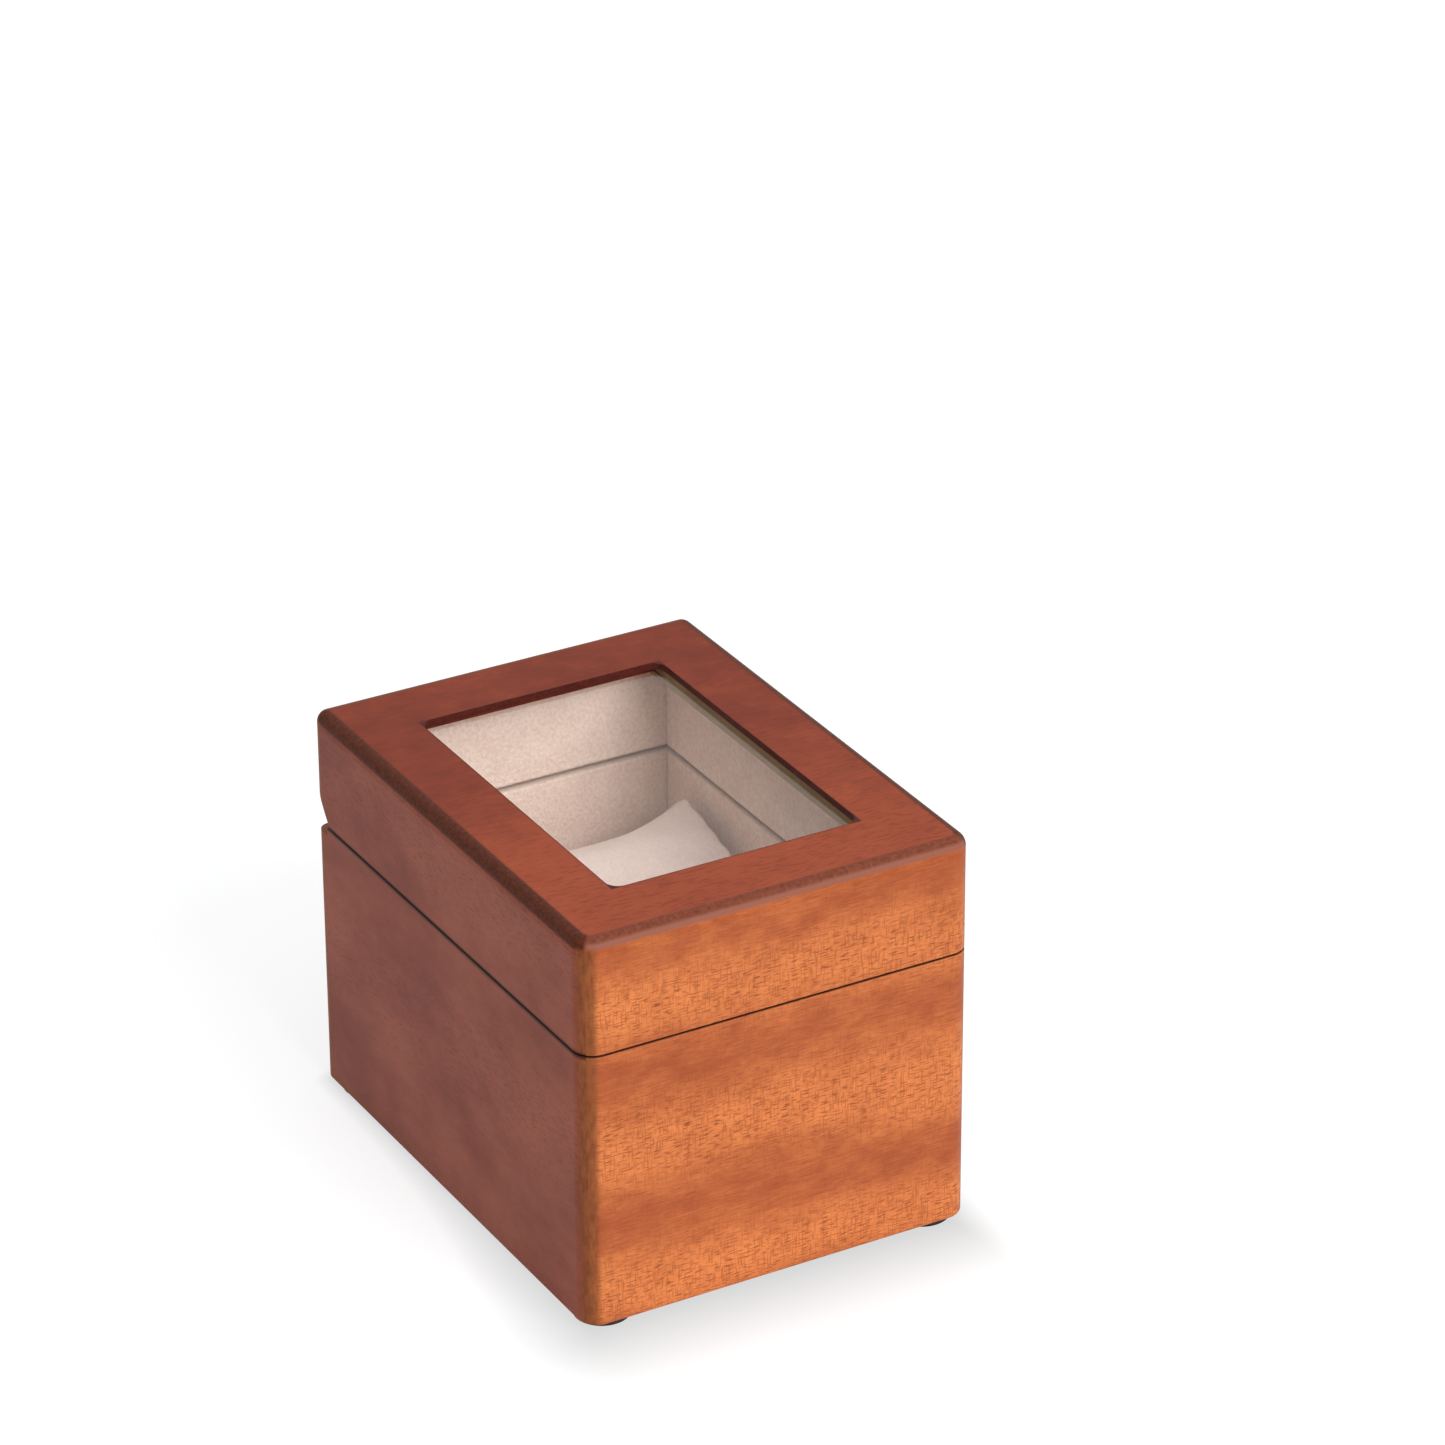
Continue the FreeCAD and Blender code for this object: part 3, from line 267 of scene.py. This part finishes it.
front_veneer = veneer_finish("front_veneer", "XZY", FRONT_SHEET, seam_shade_reach=0.0005)
side_veneer = veneer_finish("side_veneer", "YZX", SIDE_SHEET, seam_shade_reach=0.0016)
back_veneer = veneer_finish("back_veneer", "XZY", BACK_SHEET, seam_shade_reach=0.0005)
dress(front_veneer, "base_front_wall")
dress(side_veneer, "base_left_wall", "base_right_wall")
dress(back_veneer, "base_back_wall")


# Bottom board, battens, false floor, drive partition and control deck: thin fibre board, sawn to size
# and glued into rebates and onto the battens. It is left bare, because the linings cover what shows.
fibres, enters, leaves = new_effect(
    "Pressed fibres",
    {"Place": "Vector", "Light": "Color", "Dark": "Color"},
    {"Color": "Color", "Height": "Float"},
)
matted = cloud(fibres, enters["Place"], (700, 700, 700), 4.0, 0.7)
patches = cloud(fibres, enters["Place"], (45, 45, 45))
shares = reckon(fibres, "MULTIPLY_ADD", patches, 0.5, reckon(fibres, "MULTIPLY", matted, 0.6))
plug(fibres, leaves, {
    "Color": tint(fibres, ease(fibres, shares, 0.3, 0.8), enters["Dark"], enters["Light"]),
    "Height": matted,
})


def pressed_finish(name, light, dark, relief, **plain):
    """Pressed or painted fibre between two colours."""
    material, tree, shader, place = new_finish(name, **plain)
    pressed = put_effect(tree, fibres, {"Place": place, "Light": light, "Dark": dark})
    plug(tree, shader, {"Base Color": pressed["Color"]})
    emboss(tree, shader, pressed["Height"], strength=relief, depth=0.0004)
    return material


bare_board = pressed_finish("bare_board", stain(190, 152, 108), stain(138, 102, 68), relief=0.15,
                            Roughness=0.85, Specular_IOR_Level=0.2)
dress(bare_board, "base_bottom_board", "floor_battens", "well_floor_board", "drive_partition",
      "control_deck")


# Feet: four discs punched from dark pressed felt, glued under the corners of the bottom so that the
# box neither slides nor scratches.
foot_felt = pressed_finish("foot_felt", stain(66, 50, 48), stain(28, 20, 20), relief=0.7,
                           Roughness=0.95, Specular_IOR_Level=0.1, Sheen_Weight=0.3)
dress(foot_felt, "felt_feet")


# Linings of the base, the divider between the wells and the deck's cover: card wrapped in cream suede
# cloth, cut to fit and glued in. The nap lies in soft clouds and has a fine pebbled grain, and painted
# shade darkens it along the seam between base and lid.
half_gap = (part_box("lid_lining_back")[0].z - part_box("base_lining_back")[1].z) / 2
lining_shade_reach = 0.0015
suede, enters, leaves = new_effect(
    "Suede nap",
    {"Place": "Vector", "Light": "Color", "Dark": "Color", "Grain": "Float", "Seam Shade Share": "Float"},
    {"Color": "Color", "Height": "Float"},
)
brushed = cloud(suede, enters["Place"], (120, 100, 110), 3.0, 0.6)
pebbles = cloud(suede, enters["Place"], (850, 850, 850), 2.0, 0.6)
hairs = cloud(suede, enters["Place"], (2600, 2600, 1500))
lie = total(suede, swing(suede, pebbles, enters["Grain"]), swing(suede, brushed, 0.7),
            swing(suede, hairs, 0.5))
fresh = tint(suede, ease(suede, lie, -0.5, 0.5), enters["Dark"], enters["Light"])
height = lay(suede, "SeparateXYZ", {"Vector": enters["Place"]}, "Z")
# Painted shade: the suede goes darker towards the gap at the seam.
lining_seam_shade = ease(suede, from_seam(suede, height), half_gap, lining_shade_reach, enters["Seam Shade Share"], 0.0)
plug(suede, leaves, {
    "Color": tint(suede, lining_seam_shade, fresh, stain(164, 128, 104)),
    "Height": reckon(suede, "MULTIPLY_ADD", hairs, 0.25, pebbles),
})


def suede_finish(name, light, dark, pebbling, relief, seam_shade_share):
    """Suede cloth, darkened by a share of painted shade at the seam of the box."""
    material, tree, shader, place = new_finish(
        name, Roughness=0.95, Specular_IOR_Level=0.15, Sheen_Weight=0.2, Sheen_Roughness=0.5)
    nap = put_effect(tree, suede, {
        "Place": place, "Light": light, "Dark": dark, "Grain": pebbling, "Seam Shade Share": seam_shade_share})
    plug(tree, shader, {"Base Color": nap["Color"]})
    emboss(tree, shader, nap["Height"], strength=relief, depth=0.0008)
    return material


lining_suede = suede_finish("lining_suede", stain(253, 233, 219), stain(233, 203, 188),
                            pebbling=1.3, relief=0.55, seam_shade_share=0.6)
dress(lining_suede, "base_lining_back", "base_lining_front", "base_lining_right", "well_floor_lining",
      "drive_partition_lining", "centre_divider", "deck_lining")


# Bushes, pulleys and standoffs: turned or moulded from natural nylon, which is milky and slightly
# waxy. They are pressed into the boards and onto the shafts.
SKIN_TAKES = {
    "Place": "Vector", "Light": "Color", "Dark": "Color", "Smoothest": "Float", "Roughest": "Float"}
SKIN_GIVES = {"Color": "Color", "Roughness": "Float", "Height": "Float"}
moulded, enters, leaves = new_effect("Moulded skin", SKIN_TAKES, SKIN_GIVES)
flow = cloud(moulded, enters["Place"], (120, 60, 120), 3.0)
texture = cloud(moulded, enters["Place"], (2400, 2400, 2400))
plug(moulded, leaves, {
    "Color": tint(moulded, ease(moulded, flow, 0.3, 0.7), enters["Dark"], enters["Light"]),
    "Roughness": ease(moulded, flow, 0.3, 0.7, enters["Smoothest"], enters["Roughest"]),
    "Height": texture,
})


def skin_finish(name, skin, light, dark, smoothest, roughest, relief, **plain):
    """A moulded or drawn skin between two colours and between two roughnesses."""
    material, tree, shader, place = new_finish(name, **plain)
    made = put_effect(tree, skin, {
        "Place": place, "Light": light, "Dark": dark, "Smoothest": smoothest, "Roughest": roughest})
    plug(tree, shader, {"Base Color": made["Color"], "Roughness": made["Roughness"]})
    emboss(tree, shader, made["Height"], strength=relief, depth=0.0002)
    return material


natural_nylon = skin_finish("natural_nylon", moulded, stain(236, 231, 218), stain(222, 215, 198),
                            smoothest=0.42, roughest=0.55, relief=0.1)
dress(natural_nylon, "shaft_bushes", "pivot_bushes", "board_standoffs", "rear_cradle_pulley",
      "front_cradle_pulley", "motor_pulley")


# Shafts, motor can, bracket, screws and nut: bright steel, turned, drawn or pressed, with fine lines
# along the work. The gearbox is a brass block, and the screws hold its bracket down to the bottom.
drawn, enters, leaves = new_effect("Drawn metal", SKIN_TAKES, SKIN_GIVES)
lines = cloud(drawn, enters["Place"], (90, 4200, 4200), 3.0)
bloom = cloud(drawn, enters["Place"], (80, 80, 80), 4.0, 0.65)
dulled = reckon(drawn, "MULTIPLY_ADD", bloom, 0.6, reckon(drawn, "MULTIPLY", lines, 0.4))
plug(drawn, leaves, {
    "Color": tint(drawn, ease(drawn, bloom, 0.3, 0.7), enters["Dark"], enters["Light"]),
    "Roughness": ease(drawn, dulled, 0.3, 0.7, enters["Smoothest"], enters["Roughest"]),
    "Height": lines,
})
bright_steel = skin_finish("bright_steel", drawn, stain(206, 206, 208), stain(176, 177, 181),
                           smoothest=0.22, roughest=0.40, relief=0.06, Metallic=1.0)
gearbox_brass = skin_finish("gearbox_brass", drawn, stain(222, 192, 132), stain(192, 158, 96),
                            smoothest=0.28, roughest=0.45, relief=0.06, Metallic=1.0)
dress(bright_steel, "rear_cradle_shaft", "front_cradle_shaft", "motor_shaft", "motor_bracket",
      "bracket_screws", "gear_motor", "jack_nut")
dress(gearbox_brass, "motor_gearbox")


# Drive belt: one flat loop of black rubber, moulded and then ground matt, that runs over the pulleys
# of the motor and both cradles.
belt_rubber = skin_finish("belt_rubber", moulded, stain(44, 44, 45), stain(28, 28, 29),
                          smoothest=0.7, roughest=0.85, relief=0.4)
dress(belt_rubber, "drive_belt")


# Control board: glass laminate under green solder mask, with copper tracks that stand up slightly.
# It stands on the bottom board on its four nylon posts.
solder_mask, tree, shader, place = new_finish("solder_mask", Roughness=0.35)
brickwork = {"Vector": place, "Scale": 90.0, "Mortar Size": 0.06, "Mortar Smooth": 0.2}
tracks = lay(tree, "TexBrick", brickwork, "Fac")
pooling = cloud(tree, place, (220, 220, 220))
mask = tint(tree, ease(tree, pooling, 0.3, 0.7), stain(18, 88, 48), stain(28, 108, 60))
plug(tree, shader, {"Base Color": tint(tree, tracks, mask, stain(52, 136, 78))})
emboss(tree, shader, tracks, strength=0.3, depth=0.0001)
dress(solder_mask, "control_board")


# Cradle yokes and the body of the mode switch: moulded in black plastic, in moulds with a fine sparked
# texture. A yoke turns on its steel shaft at the left and on its own pivot at the right.
sparked_black = skin_finish("sparked_black", moulded, stain(54, 53, 53), stain(40, 39, 39),
                            smoothest=0.55, roughest=0.68, relief=0.5)
dress(sparked_black, "rear_cradle_yoke", "front_cradle_yoke", "mode_switch_body")


# Rocker switch, mode knob, power socket and board components: black plastic from polished moulds. The
# switch and the knob stand on the deck, and the socket is sunk in the back wall.
polished_black = skin_finish("polished_black", moulded, stain(34, 34, 35), stain(24, 24, 25),
                             smoothest=0.18, roughest=0.30, relief=0.04)
dress(polished_black, "rocker_housing", "power_rocker", "power_jack", "mode_knob", "board_components")


# Indicator lens: a small rod of clear green plastic with a polished end, pressed through the deck over
# its lamp.
green_lens = skin_finish("green_lens", moulded, stain(120, 206, 132), stain(84, 176, 100),
                         smoothest=0.08, roughest=0.16, relief=0.02)
dress(green_lens, "indicator_lens")


# Watch pillows: suede cushions sewn at the ears and stuffed with fibre, drawn in where the strap goes.
# Each is pressed onto the arms of its cradle, which sit in pockets in its ends.
pillow_suede = suede_finish("pillow_suede", stain(247, 226, 217), stain(232, 207, 198),
                            pebbling=0.9, relief=0.4, seam_shade_share=0.0)
# The empty skin is a little smaller than the solid, and stuffing swells it by this much at most.
empty_share, skin_step, swell = 0.99, 0.0018, 0.0014


def set_in_scene(name, data):
    """Makes an object of a mesh, a lamp or a camera and puts it in the scene."""
    made = bpy.data.objects.new(name, data)
    bpy.context.scene.collection.objects.link(made)
    return made


def stuff(sewn, most, pressure=4.0, ticks=20):
    """Blows a closed skin up like a stuffed cushion, no point by more than the given distance."""
    scene = bpy.context.scene
    start = [vertex.co.copy() for vertex in sewn.data.vertices]
    cloth = sewn.modifiers.new("filling", "CLOTH")
    cloth.settings.use_pressure = True
    cloth.settings.uniform_pressure_force = pressure
    cloth.settings.effector_weights.gravity = 0.0
    for tick in range(1, ticks + 1):
        scene.frame_set(tick)
    filled = sewn.evaluated_get(bpy.context.evaluated_depsgraph_get())
    ends = [vertex.co.copy() for vertex in filled.to_mesh().vertices]
    filled.to_mesh_clear()
    sewn.modifiers.remove(cloth)
    scene.frame_set(1)
    for vertex, first, last in zip(sewn.data.vertices, start, ends):
        move = last - first
        if move.length > most:
            move = move * (most / move.length)
        vertex.co = first + move


def settle(piece):
    """Takes what a piece's modifiers make of it into its own mesh."""
    graph = bpy.context.evaluated_depsgraph_get()
    made = bpy.data.meshes.new_from_object(piece.evaluated_get(graph))
    piece.modifiers.clear()
    piece.data = made


rear_low, rear_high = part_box("rear_pillow")
middle = (rear_low + rear_high) / 2
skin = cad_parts["rear_pillow"].data.copy()
skin.transform(Matrix.Translation(middle) @ Matrix.Scale(empty_share, 4) @ Matrix.Translation(-middle))
rear_cushion = set_in_scene("rear_cushion", skin)
voxels = rear_cushion.modifiers.new("even_skin", "REMESH")
voxels.mode = "VOXEL"
voxels.voxel_size = skin_step
settle(rear_cushion)
stuff(rear_cushion, swell)
smoothing = rear_cushion.modifiers.new("soften", "SMOOTH")
smoothing.factor = 0.5
smoothing.iterations = 2
rounding = rear_cushion.modifiers.new("round", "SUBSURF")
rounding.levels = 1
rounding.render_levels = 1
settle(rear_cushion)
rear_cushion.data.materials.clear()
rear_cushion.data.materials.append(pillow_suede)
for polygon in rear_cushion.data.polygons:
    polygon.use_smooth = True
front_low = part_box("front_pillow")[0]
front_cushion = set_in_scene("front_cushion", rear_cushion.data.copy())
front_cushion.data.transform(Matrix.Translation(front_low - rear_low))
for cushion, side in ((rear_cushion, "rear"), (front_cushion, "front")):
    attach(cushion, side + "_cradle")
    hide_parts(side + "_pillow")


# Hinges: stamped brass leaves rolled round a pin, let into the walls at the back and held by
# countersunk brass screws. They are brushed and lacquered.
satin_brass = skin_finish("satin_brass", drawn, stain(226, 192, 122), stain(198, 158, 88),
                          smoothest=0.24, roughest=0.42, relief=0.06, Metallic=1.0)
dress(satin_brass, "hinge_base_leaves", "hinge_lid_leaves", "hinge_pins", "hinge_base_screws",
      "hinge_lid_screws")


# Lid walls: cut from the same veneered boards as the base after they were glued up, so the figure of
# the sheets runs on across the seam.
dress(front_veneer, "lid_front_wall")
dress(side_veneer, "lid_left_wall", "lid_right_wall")
dress(back_veneer, "lid_back_wall")


# Lid top: one board with a routed window, veneered on top with its grain across the box. The walls'
# sheets run up to its round-over, where the board itself shows: end grain at the sides, which has
# drunk the stain and is nearly black, and long grain at the front and back, which has a painted
# highlight, a paler mauve band, low on its round.
TOP_SHEET = {
    "Light": stain(158, 75, 48), "Dark": stain(112, 46, 31), "Pore": stain(84, 31, 22), "Stripe": 0.26,
    "Stripe Width": 0.132, "Stripe Start": -0.041, "Clouds": 0.6, "Cross Figure": 0.0, "Flecks": 0.3,
}
front_round, back_round = 0.006, 0.0042
side_rail, end_rail, lip_blend = 0.0214, 0.0228, 0.0003
# Where one finish of the top gives way to the next: the sheet at the edge, the board on the way down,
# and the painted highlight on the long grain.
sheet_starts, highlight_from = (0.0030, 0.0040), (0.0008, 0.0018)
long_grain_ends, end_grain_ends = (0.0022, 0.0034), (0.0027, 0.0038)


def slant(tree, first, second):
    """The straight distance over two distances at right angles to each other."""
    square = reckon(tree, "MULTIPLY", second, second)
    return reckon(tree, "SQRT", reckon(tree, "MULTIPLY_ADD", first, first, square))


top_veneer, tree, shader, place = new_finish("top_veneer", Specular_IOR_Level=0.06)
x, y, z = lay(tree, "SeparateXYZ", {"Vector": place}).node.outputs
coarse = lay(tree, "Mapping", {"Vector": place, "Scale": (0.85, 0.55, 1.0)})
top_leaf = lay_sheet(tree, coarse, "XYZ", TOP_SHEET)
front_leaf = lay_sheet(tree, place, "XZY", FRONT_SHEET)
side_leaf = lay_sheet(tree, place, "YZX", SIDE_SHEET)
from_side = inside(tree, x, half_width)
from_end = inside(tree, y, half_depth)
from_top = reckon(tree, "SUBTRACT", box_top, z)
corner = ease(tree, y, -0.001, 0.001, front_round, back_round)
corner_x = reckon(tree, "MAXIMUM", reckon(tree, "SUBTRACT", corner, from_side), 0.0)
corner_y = reckon(tree, "MAXIMUM", reckon(tree, "SUBTRACT", corner, from_end), 0.0)
inward = reckon(tree, "SUBTRACT", corner, slant(tree, corner_x, corner_y))
nearer_side = ease(tree, reckon(tree, "SUBTRACT", from_end, from_side), -0.0012, 0.0012)
below_edge = ease(tree, from_top, *long_grain_ends)
speckle = ease(tree, cloud(tree, place, (900, 900, 900), 3.0, 0.6), 0.25, 0.75)
end_grain = tint(tree, speckle, stain(70, 32, 20), stain(94, 47, 31))
end_grain = tint(tree, ease(tree, from_top, *end_grain_ends), end_grain, side_leaf["Color"])
long_grain = tint(tree, speckle, stain(104, 54, 38), stain(128, 70, 52))
# Painted highlight: the long grain turns paler mauve lower on the round-over.
long_grain = tint(tree, ease(tree, from_top, *highlight_from), long_grain, stain(142, 88, 72))
long_grain = tint(tree, below_edge, long_grain, front_leaf["Color"])
edge = tint(tree, nearer_side, long_grain, end_grain)
colour = tint(tree, ease(tree, inward, *sheet_starts, 1.0, 0.0), top_leaf["Color"], edge)
edged = put_effect(tree, edges_and_shade, {"Place": place, "Wood": colour, "Seam Shade Reach": 0.0005})
colour = tint(tree, below_edge, colour, edged["Color"])
across_window = ease(tree, from_side, side_rail, side_rail + lip_blend)
along_window = ease(tree, from_end, end_rail, end_rail + lip_blend)
in_window = reckon(tree, "MULTIPLY", across_window, along_window)
colour = tint(tree, in_window, colour, tint(tree, speckle, stain(66, 26, 20), stain(88, 38, 30)))
plug(tree, shader, {"Base Color": colour, "Roughness": top_leaf["Roughness"]})
emboss(tree, shader, top_leaf["Height"], strength=0.10, depth=0.0004)
dress(top_veneer, "lid_top_frame")


# Lid linings: the same suede-covered card as in the base, one strip along each wall, glued in under
# the frame.
dress(lining_suede, "lid_lining_back", "lid_lining_front", "lid_lining_left", "lid_lining_right")


# Window: a pane of clear float glass with ground edges, laid from inside into the rebate under the
# frame. It is polished, with a trace of smear.
def new_surface(name):
    """Starts a material without the usual shader: itself, its tree and the socket for its surface."""
    material = bpy.data.materials.new(name)
    material.use_nodes = True
    tree = material.node_tree
    tree.nodes.remove(tree.nodes["Principled BSDF"])
    return material, tree, tree.nodes["Material Output"].inputs["Surface"]


window_glass, tree, surface = new_surface("window_glass")
clear = lay(tree, "BsdfTransparent", {"Color": (0.985, 0.992, 0.988, 1.0)})
smear = cloud(tree, lay(tree, "TexCoord", out="Object"), (60, 60, 60), 3.0)
mirror = lay(tree, "BsdfGlossy", {"Roughness": ease(tree, smear, 0.4, 0.7, 0.01, 0.05)})
outer_face = reckon(tree, "SUBTRACT", 1.0, lay(tree, "NewGeometry", out="Backfacing"))
shine = reckon(tree, "MULTIPLY", lay(tree, "Fresnel", {"IOR": 1.45}), outer_face)
tree.links.new(lay(tree, "MixShader", {0: shine, 1: clear, 2: mirror}), surface)
dress(window_glass, "glass_pane")


# Glass strips: two narrow battens painted olive brown, pinned to the linings along the sides to hold
# the pane up against the frame.
olive_paint = pressed_finish("olive_paint", stain(178, 152, 116), stain(150, 124, 92), relief=0.12,
                             Roughness=0.7, Specular_IOR_Level=0.25)
dress(olive_paint, "glass_retainers")


# Studio: a white floor that runs out of sight, a broad soft lamp from the front, softer ones from
# overhead and behind, and an even sky. The floor is drawn white. It keeps a thin part of the box's
# shadow, has a trace less red against the glow of the wood, and has a painted shadow, a grey that
# deepens towards the box, most in front.
floor_half = 6.0
painted_shadow_reach = 0.033
left_start, right_start, end_start = half_width - 0.003, half_width - 0.005, half_depth - 0.002
# The painted shadow fades out so many times faster beside and behind the box than in front of it.
crowd_front, crowd_back, crowd_right, crowd_behind = 1.3, 4.5, 2.0, 5.0


def drawn_white(tree):
    """1 for the rays that see the studio, straight or by way of gloss or glass, and 0 for its light."""
    rays = lay(tree, "LightPath").node.outputs
    seen = reckon(tree, "MAXIMUM", rays["Is Camera Ray"], rays["Is Glossy Ray"])
    return reckon(tree, "MAXIMUM", seen, rays["Is Transmission Ray"])


def glow(tree, level):
    """An even grey light of its own, where a level of 1 is white."""
    return lay(tree, "Emission", {"Color": (level, level, level, 1.0), "Strength": 1.0})


floor_mesh = bpy.data.meshes.new("studio_floor")
floor_corners = [(floor_half * i, floor_half * j, 0) for i, j in ((-1, -1), (1, -1), (1, 1), (-1, 1))]
floor_mesh.from_pydata(floor_corners, [], [(0, 1, 2, 3)])
studio_floor = set_in_scene("studio_floor", floor_mesh)
white_floor, tree, surface = new_surface("white_floor")
shaded = lay(tree, "BsdfDiffuse", {"Color": (0.905, 0.92, 0.92, 1.0)})
shaded = lay(tree, "AddShader", {0: shaded, 1: glow(tree, 0.25)})
shaded = lay(tree, "MixShader", {0: 0.6, 1: shaded, 2: glow(tree, 1.0)})
x, y = lay(tree, "SeparateXYZ", {"Vector": lay(tree, "TexCoord", out="Object")}).node.outputs[:2]
crowding = ease(tree, y, -half_depth, half_depth, crowd_front, crowd_back)
at_left = reckon(tree, "SUBTRACT", -left_start, x)
at_right = reckon(tree, "MULTIPLY", reckon(tree, "SUBTRACT", x, right_start), crowd_right)
beside = reckon(tree, "MULTIPLY", reckon(tree, "MAXIMUM", at_left, at_right), crowding)
before = reckon(tree, "SUBTRACT", -end_start, y)
behind = reckon(tree, "MULTIPLY", reckon(tree, "SUBTRACT", y, end_start), crowd_behind)
beyond = reckon(tree, "MAXIMUM", before, behind)
away = slant(tree, reckon(tree, "MAXIMUM", beside, 0.0), reckon(tree, "MAXIMUM", beyond, 0.0))
# Painted shadow: a grey of 0.69 laid round the footprint of the box.
painted_shadow = lay(tree, "MapRange", {0: away, 1: 0.0, 2: painted_shadow_reach, 3: 1.0, 4: 0.0})
shaded = lay(tree, "MixShader", {0: painted_shadow, 1: shaded, 2: glow(tree, 0.69)})
paper = lay(tree, "BsdfDiffuse", {"Color": (0.80, 0.80, 0.80, 1.0)})
tree.links.new(lay(tree, "MixShader", {0: drawn_white(tree), 1: paper, 2: shaded}), surface)
floor_mesh.materials.append(white_floor)

for name, energy, spread, towards in (
    ("broad_lamp", 2.2, 34, (0.18, -0.83, 0.53)),
    ("overhead_lamp", 0.95, 60, (-0.10, -0.30, 0.95)),
    ("rear_lamp", 0.40, 50, (0.05, 0.60, 0.80)),
):
    lamp = bpy.data.lights.new(name, "SUN")
    lamp.energy = energy
    lamp.angle = math.radians(spread)
    stand = set_in_scene(name, lamp)
    stand.rotation_euler = Vector(towards).to_track_quat("Z", "Y").to_euler()

sky = bpy.data.worlds.new("even_sky")
sky.use_nodes = True
bpy.context.scene.world = sky
tree = sky.node_tree
tree.nodes.clear()
dome = lay(tree, "Background", {"Color": (0.96, 0.98, 1.0, 1.0), "Strength": 0.36})
white = lay(tree, "Background", {"Color": (1.0, 1.0, 1.0, 1.0), "Strength": 1.0})
above = lay(tree, "MixShader", {0: drawn_white(tree), 1: dome, 2: white})
tree.links.new(above, tree.nodes.new("ShaderNodeOutputWorld").inputs["Surface"])


# Camera: a long lens that looks down on the box from the front left, held level, as it was when the
# photograph was taken.
lens = bpy.data.cameras.new("camera")
lens.sensor_width = 36.0
lens.lens = 152.64
lens.clip_start = 0.05
eye = Vector((-0.71341, -1.30750, 0.89582))
ahead = Vector((0.43885888, 0.77480059, -0.45506805))
right = Vector((0.86904212, -0.49472006, -0.00422473))
upward = right.cross(ahead)
turn = Matrix((right, upward, -ahead)).transposed()
camera = set_in_scene("camera", lens)
camera.matrix_world = Matrix.Translation(eye) @ turn.to_4x4()
bpy.context.scene.camera = camera
bpy.context.scene.view_settings.view_transform = "Standard"
